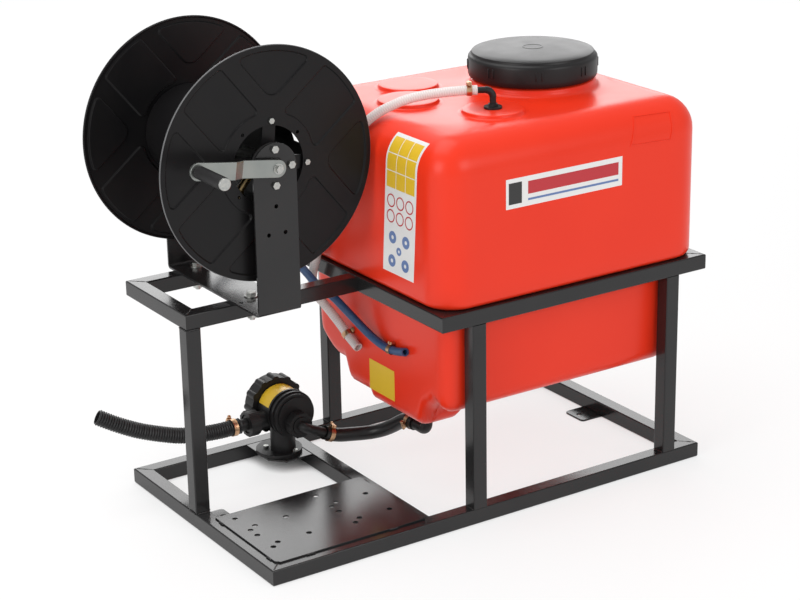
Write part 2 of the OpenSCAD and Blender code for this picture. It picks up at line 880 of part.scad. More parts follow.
// The tank's volume, drawn in by a wall
module tank_form(w) {
    foot = 12;
    hull() for (p = upper_at) {
        site(p.x, p.y, tank_top - tank_round) sphere(r = tank_round - w, $fn = 32);
        site(p.x, p.y, ring_top + foot) cylinder(r = tank_round - w, h = 1, $fn = 32);
        site(p.x, p.y, ring_top + w) cylinder(r = tank_round - foot / 2 - w, h = 1, $fn = 32);
    }
    hull() {
        for (p = lower_at) site(p.x, p.y, ring_top - 6)
            cylinder(r = lower_r - w, h = 16 + w, $fn = 32);
        // The floor's back left corner is drawn up
        for (i = [0:len(floor_at) - 1])
            site(floor_at[i].x, floor_at[i].y, tank_floor + lower_r + (i == 1 ? corner_lift : 0))
                sphere(r = lower_r - w, $fn = 32);
    }
    hull() {
        for (p = sump_top_at) site(p.x, p.y, tank_floor + 24)
            cylinder(r = sump_r - w, h = 30, $fn = 32);
        for (p = sump_at) site(p.x, p.y, sump_floor + sump_r)
            sphere(r = sump_r - w, $fn = 32);
    }
}

module tank_shell() {
    color(red) difference() {
        union() {
            tank_form(0);
            site(neck_x, mid_y, tank_top - 10) cylinder(r = plinth_r, h = 10 + plinth_h, $fn = 96);
            site(neck_x, mid_y, tank_top) cylinder(r = neck_r, h = neck_h, $fn = 96);
            for (p = boss_at) site(p.x, p.y, tank_top - 10)
                cylinder(r = boss_r, h = 10 + boss_h, $fn = 64);
            site(outlet_x, outlet_y, sump_floor - 4) cylinder(r = 20, h = 12);
        }
        tank_form(tank_wall);
        site(neck_x, mid_y, tank_top - 30) cylinder(r = neck_bore_r, h = 30 + neck_h + cut, $fn = 96);
        site(boss_at[0].x, boss_at[0].y, tank_top - 20) cylinder(r = 7, h = 30, $fn = 32);
        site(outlet_x, outlet_y, sump_floor - 5) cylinder(r = outlet_r_in, h = 20, $fn = 32);
    }
}

basket_t = 2;
basket_r = neck_bore_r - 5;
basket_d = 120;
seal_t = 3;
lid_z0 = tank_top + plinth_h + 3;
lid_in_z = tank_top + neck_h + basket_t + seal_t + 2 * face_gap;
lid_top_t = 4;
lid_edge_z = lid_in_z + lid_top_t;

// Strainer basket: wide rim on the neck, slotted wall and floor
module strainer_basket() {
    slots = 16;
    color(black) site(neck_x, mid_y, tank_top + neck_h) difference() {
        union() {
            cylinder(r = neck_r - 1, h = basket_t, $fn = 96);
            translate([0, 0, -basket_d]) cylinder(r = basket_r, h = basket_d + eps, $fn = 96);
        }
        translate([0, 0, -basket_d + basket_t])
            cylinder(r = basket_r - basket_t, h = basket_d + cut, $fn = 96);
        for (i = [0:slots - 1], z = [-100, -62]) rotate([0, 0, 360 * i / slots])
            translate([basket_r - 4, -7, z]) cube([8, 14, 28]);
        for (x = [-66:22:66], y = [-66:22:66]) if (norm([x, y]) < basket_r - 12)
            translate([x, y, -basket_d - cut]) cylinder(r = 7, h = basket_t + 2 * cut, $fn = 20);
    }
}

module lid_seal() {
    color(black) site(neck_x, mid_y, tank_top + neck_h + basket_t + face_gap)
        ring_z(neck_r - 1, neck_bore_r, seal_t);
}

module tank_lid() {
    h = lid_edge_z - lid_z0;
    dome = 6;
    lug_h = 18;
    lug_step = 2.6;
    color(black) site(neck_x, mid_y, 0) difference() {
        union() {
            translate([0, 0, lid_z0]) cylinder(r = lid_r, h = h, $fn = 96);
            translate([0, 0, lid_edge_z - eps]) rotate_extrude($fn = 96)
                polygon([
                    [0, 0], [lid_r - 5, 0], [lid_r - 8, 2], [lid_r - 40, dome - 2],
                    [lid_r - 80, dome - 0.4], [0, dome]
                ]);
            for (i = [0:lid_lugs - 1], side = [-1, 1])
                rotate([0, 0, 14 + 360 * i / lid_lugs + side * lug_step])
                    translate([lid_r, 0, lid_z0 + 15]) cylinder(r = 2, h = lug_h, $fn = 16);
        }
        translate([0, 0, lid_z0 - cut])
            cylinder(r = lid_bore_r, h = lid_in_z - lid_z0 + cut, $fn = 96);
    }
}

// Elbow with a round foot and a hose barb
elbow_turn = 150;

module return_elbow() {
    r = 6.5;
    bend = 14;
    // The straight ends are a little thinner than the bend and reach into it
    end_r = r - 0.5;
    into = 1;
    rise = clear_route[0].z - tank_top - boss_h;
    reach = norm([clear_route[0].x - boss_x, clear_route[0].y - mid_y + boss_step_y]) - hose_gap;
    color(black) site(boss_x, mid_y - boss_step_y, tank_top + boss_h) {
        cylinder(r = 17, h = 4);
        cylinder(r = 10, h = 9, $fn = 6);
        translate([0, 0, -14]) cylinder(r = end_r, h = 14 + rise - bend + into, $fn = 32);
        rotate([0, 0, elbow_turn]) {
            translate([bend, 0, rise - bend]) rotate([90, 0, 180])
                rotate_extrude(angle = 90, $fn = 48) translate([bend, 0]) circle(r = r, $fn = 32);
            translate([bend - into, 0, rise]) along_x(end_r, reach - bend + into, 32);
        }
    }
}

module outlet_elbow() {
    r = 11;
    bend = 16;
    drop = sump_floor - 4 - link_route[len(link_route) - 1].z;
    color(black) site(outlet_x, outlet_y, sump_floor - 4) {
        translate([0, 0, -8]) cylinder(r = 20, h = 8, $fn = 8);
        translate([0, 0, -drop + bend]) cylinder(r = r, h = drop - bend, $fn = 32);
        translate([0, bend, -drop + bend]) rotate([0, -90, 0]) rotate([0, 0, 180])
            rotate_extrude(angle = 90, $fn = 48) translate([bend, 0]) circle(r = r, $fn = 32);
        translate([0, bend - eps, -drop])
            along_y(r, link_route[len(link_route) - 1].y - outlet_y - bend - hose_gap, 32);
    }
}

// ---------- suction filter ----------

port_r = 19;
port_x = 212;
port_y = bowl_y0 - 22;

module filter_body() {
    wall = 4;
    column_r = 25;
    color(black) difference() {
        union() {
            site(filter_x, bowl_y0, filter_z) along_y(filter_r, bowl_y1 - bowl_y0);
            site(filter_x, bowl_y0 - 3, filter_z) along_y(filter_r - 6, 8);
            site(filter_x, port_y, port_z) along_y(port_r, bowl_y0 - port_y + wall);
            site(port_x, filter_mid_y, port_z) along_x(port_r, filter_x - 20 - port_x);
            // Rings that stiffen the bowl
            for (y = [bowl_y0 + 8, bowl_y0 + 22]) site(filter_x, y, filter_z)
                along_y(filter_r + 3, 5);
            site(filter_foot_x + 6, filter_mid_y - 6, tube)
                cylinder(r = column_r, h = filter_z - tube - 20);
            site(filter_foot_x, filter_mid_y, tube) cylinder(r = filter_foot_r, h = filter_foot_t);
        }
        site(filter_x, bowl_y0 + wall, filter_z) along_y(filter_r - wall, 120);
        site(filter_x, port_y - cut, port_z) along_y(10, bowl_y0 - port_y + wall + 2 * cut);
        site(port_x - cut, filter_mid_y, port_z) along_x(10, filter_x - 20 - port_x + cut);
        filter_bolt_holes(filter_plate_t + 20);
    }
}

module filter_bolts() {
    color(zinc) for (p = filter_bolt_at)
        site(filter_x + p.x, filter_mid_y + p.y, tube + filter_foot_t)
            hex_bolt(m6_r, filter_foot_t + filter_plate_t + 8, 5, 4);
}

cap_y0 = bowl_y1 - 22;
cap_in_y = bowl_y1 + 3 + 2 * face_gap;
lobes = 12;

module filter_cap() {
    h = cap_in_y + 5 - cap_y0;
    color(black) site(filter_x, cap_y0, filter_z) difference() {
        union() {
            along_y(cap_r - 4, h);
            for (i = [0:lobes - 1]) rotate([0, 360 * i / lobes, 0])
                translate([cap_r - 8, 0, 0]) along_y(8, h - 3, 24);
            translate([0, h - eps, 0]) along_y(cap_r - 16, 3);
        }
        translate([0, -cut, 0]) along_y(filter_r + 1, cap_in_y - cap_y0 + cut);
    }
}

module filter_cap_seal() {
    color(black) site(filter_x, bowl_y1 + face_gap, filter_z)
        ring_y(filter_r - 0.5, filter_r - 4, 3);
}

module filter_cartridge() {
    l = bowl_y1 - bowl_y0 - 8;
    slots = 12;
    color(clear_pvc) site(filter_x, bowl_y0 + 4, filter_z) difference() {
        ring_y(28, 26, l);
        for (i = [0:slots - 1]) rotate([0, 360 * i / slots, 0])
            translate([24, 8, -4]) cube([6, l - 16, 8]);
    }
}

// Ribbed union nut along +Y
module union_nut(l) {
    difference() {
        union() {
            along_y(port_r + 6, l);
            for (i = [0.5:7.5]) rotate([0, 45 * i, 0])
                translate([port_r + 4, 0, 0]) along_y(3.5, l, 20);
        }
        translate([0, -cut, 0]) along_y(port_r + run_gap, l + 2 * cut);
    }
}

module filter_nuts() {
    front_l = 20;
    side_l = 22;
    color(black) {
        site(filter_x, port_y - 2, port_z) union_nut(front_l);
        site(port_x + side_l - 6, filter_mid_y, port_z) rotate([0, 0, 90]) union_nut(side_l);
    }
}

module suction_barb() {
    x0 = suction_route[0].x + hose_gap;
    l = port_x - x0;
    color(black) site(x0, filter_mid_y, port_z) difference() {
        union() {
            along_x(suction_r - 4, l, 32);
            translate([l - 4, 0, 0]) along_x(port_r - 1, 4);
        }
        translate([-cut, 0, 0]) along_x(suction_r - 7, l + 2 * cut, 32);
    }
}

link_dip = 25;

module link_elbow() {
    r = 10;
    bend = 12;
    flange_t = 4;
    reach = norm([link_route[0].x - filter_x, link_route[0].z - port_z]) - hose_gap;
    color(black) site(filter_x, port_y - flange_t, port_z) {
        along_y(port_r - 1, flange_t);
        rotate([0, link_dip, 0]) {
            translate([bend, 0, 0]) rotate([0, 0, 180])
                rotate_extrude(angle = 90, $fn = 48) translate([bend, 0]) circle(r = r, $fn = 32);
            translate([bend - eps, -bend, 0]) along_x(r, reach - bend, 32);
        }
    }
}

// ---------- hoses ----------

module clear_hose() {
    color(clear_pvc) hose(clear_route, clear_r, [0, 0, 1]);
}

module blue_hose() {
    color(blue) hose(blue_route, blue_r, [1, 0, 0]);
}

module suction_hose() {
    color(black) hose(suction_route, suction_r, [0, 0, 1]);
}

module link_hose() {
    color(black) hose(link_route, link_r, [0, 0, 1]);
}

// Turns its children's +X along a hose at one of its points
module on_route(route, i) {
    t = tangents(route)[i];
    p = route[i];
    site(p.x, p.y, p.z) rotate([0, -asin(t.z), atan2(t.y, t.x)]) children();
}

module clear_hose_clamp() {
    on_route(clear_route, len(clear_route) - 4) rotate([90, 0, 0]) hose_clamp(clear_r);
}

module blue_hose_clamp() {
    on_route(blue_route, len(blue_route) - 3) hose_clamp(blue_r);
}

module port_clamps() {
    on_route(clear_route, 1) hose_clamp(clear_r);
    on_route(blue_route, 1) hose_clamp(blue_r);
    on_route(suction_route, 1) rotate([90, 0, 0]) hose_clamp(suction_r);
    on_route(link_route, 1) hose_clamp(link_r);
    on_route(link_route, len(link_route) - 2) hose_clamp(link_r);
}

base_rail_front();
base_rail_back();
base_rail_left();
base_rail_right();
base_cross_member();
tank_post_front_left();
tank_post_front_right();
tank_post_back_left();
tank_post_back_right();
shelf_post();
ring_rail_front();
ring_rail_back();
ring_rail_left();
ring_rail_right();
shelf_rail_front();
shelf_rail_back();
shelf_rail_left();
pump_plate();
hold_down_lugs();
filter_plate();
reel_stand();
stand_bolts();
stand_washers();
stand_nuts();
shaft_bearings();
bearing_bolts();
reel_shaft();
reel_spiders();
reel_drum();
reel_flange_front();
reel_flange_back();
flange_bolts();
reel_outlet();
swivel_inlet();
crank_arm();
crank_bolt();
grip_pin();
crank_grip();
tank_shell();
tank_lid();
lid_seal();
strainer_basket();
return_elbow();
port_clamps();
clear_hose();
clear_hose_clamp();
blue_hose();
blue_hose_clamp();
filter_body();
filter_cap();
filter_cap_seal();
filter_cartridge();
filter_nuts();
suction_barb();
link_elbow();
filter_bolts();
suction_hose();
link_hose();
outlet_elbow();
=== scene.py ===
"""Looks of a skid-mounted field sprayer: painted tube, moulded tank, pressed reel, hoses and fittings."""
import json
import math

import bmesh
import bpy
from mathutils import Matrix, Vector, geometry, noise

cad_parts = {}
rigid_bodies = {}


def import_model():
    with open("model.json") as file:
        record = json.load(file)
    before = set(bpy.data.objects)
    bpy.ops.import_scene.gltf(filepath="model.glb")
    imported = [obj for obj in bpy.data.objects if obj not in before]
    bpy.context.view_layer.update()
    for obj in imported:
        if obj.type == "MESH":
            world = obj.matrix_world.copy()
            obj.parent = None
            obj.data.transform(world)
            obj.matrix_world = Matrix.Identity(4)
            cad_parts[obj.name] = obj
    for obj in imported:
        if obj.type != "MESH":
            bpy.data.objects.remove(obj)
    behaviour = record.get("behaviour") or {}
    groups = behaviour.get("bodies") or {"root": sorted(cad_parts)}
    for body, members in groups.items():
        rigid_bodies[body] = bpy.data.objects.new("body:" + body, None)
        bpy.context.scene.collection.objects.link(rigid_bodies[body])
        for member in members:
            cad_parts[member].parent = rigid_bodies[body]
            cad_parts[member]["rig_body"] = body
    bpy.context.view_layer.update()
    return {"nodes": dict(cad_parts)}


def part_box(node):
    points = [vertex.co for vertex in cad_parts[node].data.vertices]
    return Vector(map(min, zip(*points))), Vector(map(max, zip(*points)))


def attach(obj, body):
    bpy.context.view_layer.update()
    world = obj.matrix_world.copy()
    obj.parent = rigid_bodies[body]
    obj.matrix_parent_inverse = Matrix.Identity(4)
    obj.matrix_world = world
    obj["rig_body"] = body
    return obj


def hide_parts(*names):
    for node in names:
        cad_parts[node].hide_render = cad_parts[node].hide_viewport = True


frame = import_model()
NODES = frame["nodes"]
MM = 0.001

# The skid's near left lower corner: every place below is measured from it, in millimetres
CORNER = Vector((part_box("base_rail_left")[0].x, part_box("base_rail_front")[0].y, 0.0))


def site(x, y, z):
    return CORNER + Vector((x, y, z)) * MM


def limits(node):
    """A node's lower and upper corner in mm from the skid's corner."""
    return [[(corner[i] - CORNER[i]) / MM for i in range(3)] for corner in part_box(node)]


def plan_of(node):
    """A node's left, front, right and back limits in mm from the skid's corner."""
    low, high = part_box(node)
    return (*((low - CORNER) / MM).xy, *((high - CORNER) / MM).xy)


BASE_L = limits("base_rail_front")[1][0]
BASE_W = limits("base_rail_left")[1][1]


# ---------- camera ----------


def camera():
    eye = bpy.data.cameras.new("camera")
    eye.sensor_width = 36.0
    focal_px, frame_px = 2114.16, 800
    eye.lens = focal_px / frame_px * eye.sensor_width
    holder = bpy.data.objects.new("camera", eye)
    bpy.context.scene.collection.objects.link(holder)
    bpy.context.scene.camera = holder
    azimuth, elevation, roll = math.radians(32.94), math.radians(19.61), math.radians(-1.08)
    ahead = Vector((math.sin(azimuth) * math.cos(elevation), math.cos(azimuth) * math.cos(elevation),
                    -math.sin(elevation)))
    right = Vector((math.cos(azimuth), -math.sin(azimuth), 0))
    up = right.cross(ahead)
    turned_right = right * math.cos(roll) + up * math.sin(roll)
    turned_up = up * math.cos(roll) - right * math.sin(roll)
    turn = Matrix((turned_right, turned_up, -ahead)).transposed().to_4x4()
    holder.matrix_world = Matrix.Translation(site(-1624.74, -2935.74, 1725.81)) @ turn


camera()


# ---------- finishes ----------


class Wire:
    """An output of a shader node. Arithmetic on wires adds the Math nodes it needs."""

    def __init__(self, finish, socket):
        self.finish = finish
        self.socket = socket

    def math(self, operation, *operands):
        return self.finish.node("ShaderNodeMath", {"operation": operation}, dict(enumerate(operands)))

    def __add__(self, other):
        return self.math("ADD", self, other)

    def __sub__(self, other):
        return self.math("SUBTRACT", self, other)

    def __rsub__(self, other):
        return self.math("SUBTRACT", other, self)

    def __mul__(self, other):
        return self.math("MULTIPLY", self, other)

    def __gt__(self, other):
        return self.math("GREATER_THAN", self, other)

    __radd__ = __add__
    __rmul__ = __mul__

    def larger(self, other):
        return self.math("MAXIMUM", self, other)

    def smaller(self, other):
        return self.math("MINIMUM", self, other)

    def sine(self):
        return self.math("SINE", self)


class Finish:
    """A material: constants sit on the shader's own sockets, and patterns are wired to a few of them."""

    def __init__(self, name, colour, roughness, **more):
        self.material = bpy.data.materials.new(name)
        self.material.use_nodes = True
        self.tree = self.material.node_tree
        self.shader = self.tree.nodes["Principled BSDF"]
        self.material.diffuse_color = (*colour, 1.0)
        self.set("Base Color", (*colour, 1.0))
        self.set("Roughness", roughness)
        for words, value in more.items():
            self.set(words.replace("_", " "), value)

    def node(self, kind, settings=None, values=None, output=0):
        made = self.tree.nodes.new(kind)
        for name, value in (settings or {}).items():
            setattr(made, name, value)
        for key, value in (values or {}).items():
            self.feed(made.inputs[key], value)
        return Wire(self, made.outputs[output])

    def feed(self, socket, value):
        if isinstance(value, Wire):
            self.tree.links.new(value.socket, socket)
        else:
            socket.default_value = value

    def set(self, socket, value):
        self.feed(self.shader.inputs[socket], value)

    def place(self):
        return self.node("ShaderNodeTexCoord", output="Object")

    def split(self, place):
        """The three coordinates of a place, as separate wires."""
        first = self.node("ShaderNodeSeparateXYZ", values={0: place})
        return [Wire(self, output) for output in first.socket.node.outputs]

    def around_and_along(self):
        """The surface's own coordinates, as separate wires."""
        return self.split(self.node("ShaderNodeTexCoord", output="UV"))[:2]

    def noise(self, place, scale, detail=2.0, roughness=0.5):
        return self.node("ShaderNodeTexNoise", values={
            "Vector": place, "Scale": scale, "Detail": detail, "Roughness": roughness})

    def blend(self, factor, first, second):
        """Goes from the first colour to the second as the factor goes from 0 to 1."""
        mix = self.node("ShaderNodeMix", {"data_type": "RGBA"}, output=2)
        self.feed(mix.socket.node.inputs[0], factor)
        for slot, colour in ((6, first), (7, second)):
            self.feed(mix.socket.node.inputs[slot],
                      colour if isinstance(colour, Wire) else (*colour, 1.0))
        return mix

    def bump(self, height, strength, distance=0.0005):
        self.set("Normal", self.node("ShaderNodeBump", values={
            "Height": height, "Strength": strength, "Distance": distance}))


def grained(name, colour, roughness, scale, detail, dark, light, gloss=None, relief=None, **more):
    """A finish whose colour follows one fine noise, and where given its gloss and its relief do too."""
    made = Finish(name, colour, roughness, **more)
    grain = made.noise(made.place(), scale, detail)
    made.set("Base Color", made.blend(grain, dark, light))
    if gloss:
        least, spread = gloss
        made.set("Roughness", least + spread * grain)
    if relief:
        made.bump(grain, *relief)
    return made


def painted_tube():
    """Anthracite gloss powder coat with a fine orange peel."""
    paint = Finish("anthracite_powder_coat", (0.014, 0.014, 0.015), 0.2, Specular_IOR_Level=0.4)
    place = paint.place()
    cloud = paint.noise(place, 9.0, 3.0)
    peel = paint.noise(place, 420.0, 1.0)
    paint.set("Base Color", paint.blend(cloud, (0.01, 0.01, 0.011), (0.019, 0.018, 0.018)))
    paint.set("Roughness", 0.12 + 0.14 * cloud)
    paint.bump(peel + 0.4 * cloud, 0.12)
    return paint


def reel_coat(name, highlight_from=None):
    """The reel's black satin powder coat, with a painted highlight beyond a distance in metres from its axis.
    """
    paint = Finish(name, (0.007, 0.007, 0.008), 0.36, Specular_IOR_Level=0.2)
    place = paint.place()
    cloud = paint.noise(place, 12.0, 3.0)
    grain = paint.noise(place, 900.0, 2.0)
    coat = paint.blend(cloud, (0.005, 0.005, 0.006), (0.01, 0.009, 0.009))
    if highlight_from:
        axis = site(REEL_X, 0, REEL_Z)
        x, _, z = paint.split(place)
        across, up = x - axis.x, z - axis.z
        square = across * across + up * up
        # Painted highlight: beyond this radius the coat is painted a lighter grey, standing in for light
        # caught on the rolled rim
        rim_highlight = (square > highlight_from ** 2) * (0.4 + 0.6 * cloud)
        coat = paint.blend(rim_highlight, coat, (0.18, 0.18, 0.185))
    paint.set("Base Color", coat)
    paint.set("Roughness", 0.28 + 0.16 * cloud)
    paint.bump(grain, 0.12, 0.0003)
    return paint


def zinc_plate(name, dark, light, bloom_scale):
    """Zinc plating whose bloom goes from a darker to a lighter colour."""
    zinc = Finish(name, light, 0.34, Metallic=1.0)
    place = zinc.place()
    bloom = zinc.noise(place, bloom_scale, 3.0)
    lengthwise = zinc.node("ShaderNodeMapping", values={"Vector": place, "Scale": (40.0, 900.0, 900.0)})
    brushed = zinc.noise(lengthwise, 1.0, 2.0)
    zinc.set("Base Color", zinc.blend(bloom, dark, light))
    zinc.set("Roughness", 0.2 + 0.3 * bloom)
    zinc.bump(brushed, 0.2, 0.0002)
    return zinc


def moulded_black(name, roughness, grain_scale):
    """Black glass-filled plastic with a fine moulded grain."""
    plastic = Finish(name, (0.008, 0.008, 0.009), roughness, Specular_IOR_Level=0.3)
    place = plastic.place()
    grain = plastic.noise(place, grain_scale, 2.0)
    cloud = plastic.noise(place, 20.0, 2.0)
    plastic.set("Base Color", plastic.blend(cloud, (0.007, 0.007, 0.008), (0.013, 0.012, 0.012)))
    plastic.set("Roughness", roughness - 0.06 + 0.14 * cloud)
    plastic.bump(grain, 0.14, 0.0003)
    return plastic


def tank_plastic():
    """Rotation-moulded red polyethylene: soft gloss, a faint waviness and pin marks."""
    red = Finish("red_moulded_polyethylene", (0.8, 0.034, 0.01), 0.3, Specular_IOR_Level=0.27)
    place = red.place()
    cloud = red.noise(place, 5.0, 2.0)
    wave = red.noise(place, 16.0, 1.0)
    grain = red.noise(place, 500.0, 1.0)
    red.set("Base Color", red.blend(cloud, (0.77, 0.029, 0.008), (0.83, 0.039, 0.012)))
    red.set("Roughness", 0.25 + 0.12 * cloud)
    red.bump(wave + 0.05 * grain, 0.2, 0.002)
    return red


def mesh_plastic():
    mesh = Finish("white_strainer_mesh", (0.7, 0.7, 0.67), 0.5)
    weave = mesh.node("ShaderNodeTexVoronoi", values={"Vector": mesh.place(), "Scale": 900.0})
    mesh.set("Base Color", mesh.blend(weave, (0.5, 0.5, 0.48), (0.78, 0.78, 0.75)))
    mesh.bump(weave, 0.4, 0.0003)
    return mesh


def braided_hose():
    """Clear PVC over a faint crossed yarn braid."""
    hose = Finish("clear_braided_pvc", (0.75, 0.7, 0.68), 0.2, Alpha=0.85)
    around, along = hose.around_and_along()
    starts, rise, thin = 3, 1400.0, 0.9
    left = (around * (starts * 2 * math.pi) + along * rise).sine()
    right = (around * (starts * 2 * math.pi) - along * rise).sine()
    yarn = (left > thin).larger(right > thin)
    hose.set("Base Color", hose.blend(yarn, (0.74, 0.68, 0.66), (0.8, 0.75, 0.73)))
    hose.set("Alpha", 0.8 + 0.1 * yarn)
    hose.bump(yarn, 0.08, 0.0003)
    return hose


def blue_rubber():
    """Blue pressure hose with fine lengthwise ribs."""
    hose = Finish("blue_ribbed_rubber", (0.02, 0.06, 0.16), 0.4)
    around, along = hose.around_and_along()
    rib_count = 26
    ribs = (around * (2 * math.pi * rib_count)).sine()
    dust = hose.noise(hose.place(), 120.0, 3.0)
    hose.set("Base Color", hose.blend(dust, (0.014, 0.045, 0.13), (0.03, 0.085, 0.2)))
    hose.set("Roughness", 0.32 + 0.16 * dust)
    hose.bump(ribs, 0.25, 0.0003)
    return hose


def hose_rubber(name, roughness):
    return grained(name, (0.008, 0.008, 0.009), roughness, 60.0, 4.0, (0.006, 0.006, 0.007),
                   (0.014, 0.013, 0.013), (roughness - 0.05, 0.15), (0.1, 0.0005),
                   Specular_IOR_Level=0.35)


# The reel's axis and the outer radius of its flanges
REEL_X, REEL_Z = 145.0, 700.0
FLANGE_R = 215.0

PAINT = painted_tube()
REEL = reel_coat("black_satin_powder_coat")
# The front flange's coat, with a painted highlight along its rolled rim
REEL_RIM_HIGHLIGHT = reel_coat("black_powder_coat_painted_rim_highlight", (FLANGE_R - 1.2) * MM)
ZINC = zinc_plate("zinc_plate", (0.3, 0.32, 0.33), (0.62, 0.61, 0.56), 260.0)
CRANK_ZINC = zinc_plate("dull_zinc_plate", (0.24, 0.26, 0.25), (0.36, 0.37, 0.35), 30.0)
COPPERY = grained("yellow_passivated_steel", (0.55, 0.33, 0.18), 0.32, 120.0, 3.0,
                  (0.42, 0.24, 0.14), (0.68, 0.44, 0.26), (0.24, 0.2), Metallic=1.0)
BRASS = grained("yellow_brass", (0.6, 0.44, 0.2), 0.3, 90.0, 3.0,
                (0.45, 0.31, 0.14), (0.68, 0.52, 0.27), (0.22, 0.25), Metallic=1.0)
IRON = grained("black_bearing_iron", (0.02, 0.02, 0.021), 0.5, 350.0, 4.0,
               (0.013, 0.013, 0.014), (0.03, 0.029, 0.028), relief=(0.3, 0.0005))
BLACK = moulded_black("black_moulded_fittings", 0.42, 600.0)
LID_BLACK = moulded_black("black_lid_plastic", 0.38, 450.0)
GRIP_BLACK = moulded_black("black_grip_plastic", 0.5, 300.0)
RED = tank_plastic()
SEAL = grained("black_seal_rubber", (0.012, 0.012, 0.012), 0.7, 700.0, 2.0,
               (0.009, 0.009, 0.009), (0.018, 0.018, 0.018), relief=(0.2, 0.0003))
MESH = mesh_plastic()
CLEAR_HOSE = braided_hose()
BLUE_HOSE = blue_rubber()
SUCTION_HOSE = hose_rubber("black_suction_hose", 0.4)
LINK_HOSE = hose_rubber("black_smooth_hose", 0.3)


# ---------- mesh work ----------


def quads(rows, columns, wrap_rows=False, wrap_columns=True):
    """Faces of a grid of points stored row by row."""
    made = []
    for i in range(rows if wrap_rows else rows - 1):
        for k in range(columns if wrap_columns else columns - 1):
            a, b = i * columns, (i + 1) % rows * columns
            k2 = (k + 1) % columns
            made.append((a + k, a + k2, b + k2, b + k))
    return made


def mesh_from(name, points, faces, sharp=40.0):
    """A smooth-shaded mesh with its faces turned outwards, its edges sharp above an angle in degrees."""
    mesh = bpy.data.meshes.new(name)
    mesh.from_pydata([tuple(p) for p in points], [], faces)
    work = bmesh.new()
    work.from_mesh(mesh)
    bmesh.ops.remove_doubles(work, verts=work.verts, dist=1e-6)
    bmesh.ops.recalc_face_normals(work, faces=work.faces)
    work.to_mesh(mesh)
    work.free()
    mesh.shade_smooth()
    mesh.set_sharp_from_angle(angle=math.radians(sharp))
    return mesh


def piece(name, mesh, finish, body="frame", replaced=()):
    made = bpy.data.objects.new(name, mesh)
    bpy.context.scene.collection.objects.link(made)
    mesh.materials.clear()
    mesh.materials.append(finish.material)
    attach(made, body)
    if replaced:
        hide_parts(*replaced)
    return made


def shaped(name, parts, finish, body="frame", replaced=(), sharp=40.0):
    """A piece made of points and faces."""
    return piece(name, mesh_from(name, *parts, sharp=sharp), finish, body, replaced)


def joined(parts):
    """One list of points and one of faces from several."""
    points, faces = [], []
    for some_points, some_faces in parts:
        shift = len(points)
        points += some_points
        faces += [tuple(i + shift for i in f) for f in some_faces]
    return points, faces


def turned(profile, segments, place, closed=True):
    """Points and faces of a profile of (radius, height) in mm, turned about the +Z of a placing matrix."""
    points = []
    for radius, height in profile:
        for k in range(segments):
            a = 2 * math.pi * k / segments
            spot = Vector((radius * math.cos(a), radius * math.sin(a), height))
            points.append(place @ (spot * MM))
    return points, quads(len(profile), segments, wrap_rows=closed)


def arc(cx, cy, r, start, end, steps):
    """Points of a round stretch of a profile, angles in degrees."""
    angles = [math.radians(start + (end - start) * i / steps) for i in range(steps + 1)]
    return [(cx + r * math.cos(a), cy + r * math.sin(a)) for a in angles]


def rounded_block(size, radius, place):
    """A block of a size in mm with all its edges rounded, centred on a placing matrix."""
    work = bmesh.new()
    bmesh.ops.create_cube(work, size=1.0)
    for v in work.verts:
        v.co = Vector((v.co.x * size[0], v.co.y * size[1], v.co.z * size[2]))
    bmesh.ops.bevel(work, geom=list(work.edges), offset=radius, segments=3, profile=0.5, affect="EDGES")
    work.verts.index_update()
    points = [place @ (v.co * MM) for v in work.verts]
    faces = [tuple(v.index for v in f.verts) for f in work.faces]
    work.free()
    return points, faces


def circle(x, y, r, steps):
    return arc(x, y, r, 0, 360 - 360 / steps, steps - 1)


def rounded_corner(before, corner, after, r, steps=5):
    """Points of the arc of radius r that rounds a corner between two neighbours, all (x, y)."""
    corner = Vector(corner)
    first, second = (Vector(before) - corner).normalized(), (Vector(after) - corner).normalized()
    half = first.angle(second) / 2
    start, end = corner + first * r / math.tan(half), corner + second * r / math.tan(half)
    centre = corner + (first + second).normalized() * r / math.sin(half)
    spread = start - centre
    turn = spread.angle_signed(end - centre)
    made = []
    for i in range(steps + 1):
        a = -turn * i / steps
        made.append((centre.x + spread.x * math.cos(a) - spread.y * math.sin(a),
                     centre.y + spread.x * math.sin(a) + spread.y * math.cos(a)))
    return made


def rounded_outline(corners):
    """A closed outline of (x, y, rounding) corners."""
    made = []
    for i, (x, y, r) in enumerate(corners):
        before, after = corners[i - 1][:2], corners[(i + 1) % len(corners)][:2]
        made += rounded_corner(before, (x, y), after, r) if r else [(x, y)]
    return made


def grown(loop, by):
    """A counterclockwise loop of (x, y) points moved outwards, or inwards where by is below 0."""
    made = []
    for i, p in enumerate(loop):
        before = (Vector(p) - Vector(loop[i - 1])).normalized()
        after = (Vector(loop[(i + 1) % len(loop)]) - Vector(p)).normalized()
        out = Vector((before.y + after.y, -before.x - after.x))
        out /= max(0.2, out.dot(Vector((before.y, -before.x))))
        made.append((p[0] + out.x * by, p[1] + out.y * by))
    return made


def inside_loops(loops, x, y):
    crossings = 0
    for loop in loops:
        for (x0, y0), (x1, y1) in zip(loop, loop[1:] + loop[:1]):
            if (y0 > y) != (y1 > y) and x < x0 + (y - y0) / (y1 - y0) * (x1 - x0):
                crossings += 1
    return crossings % 2 == 1


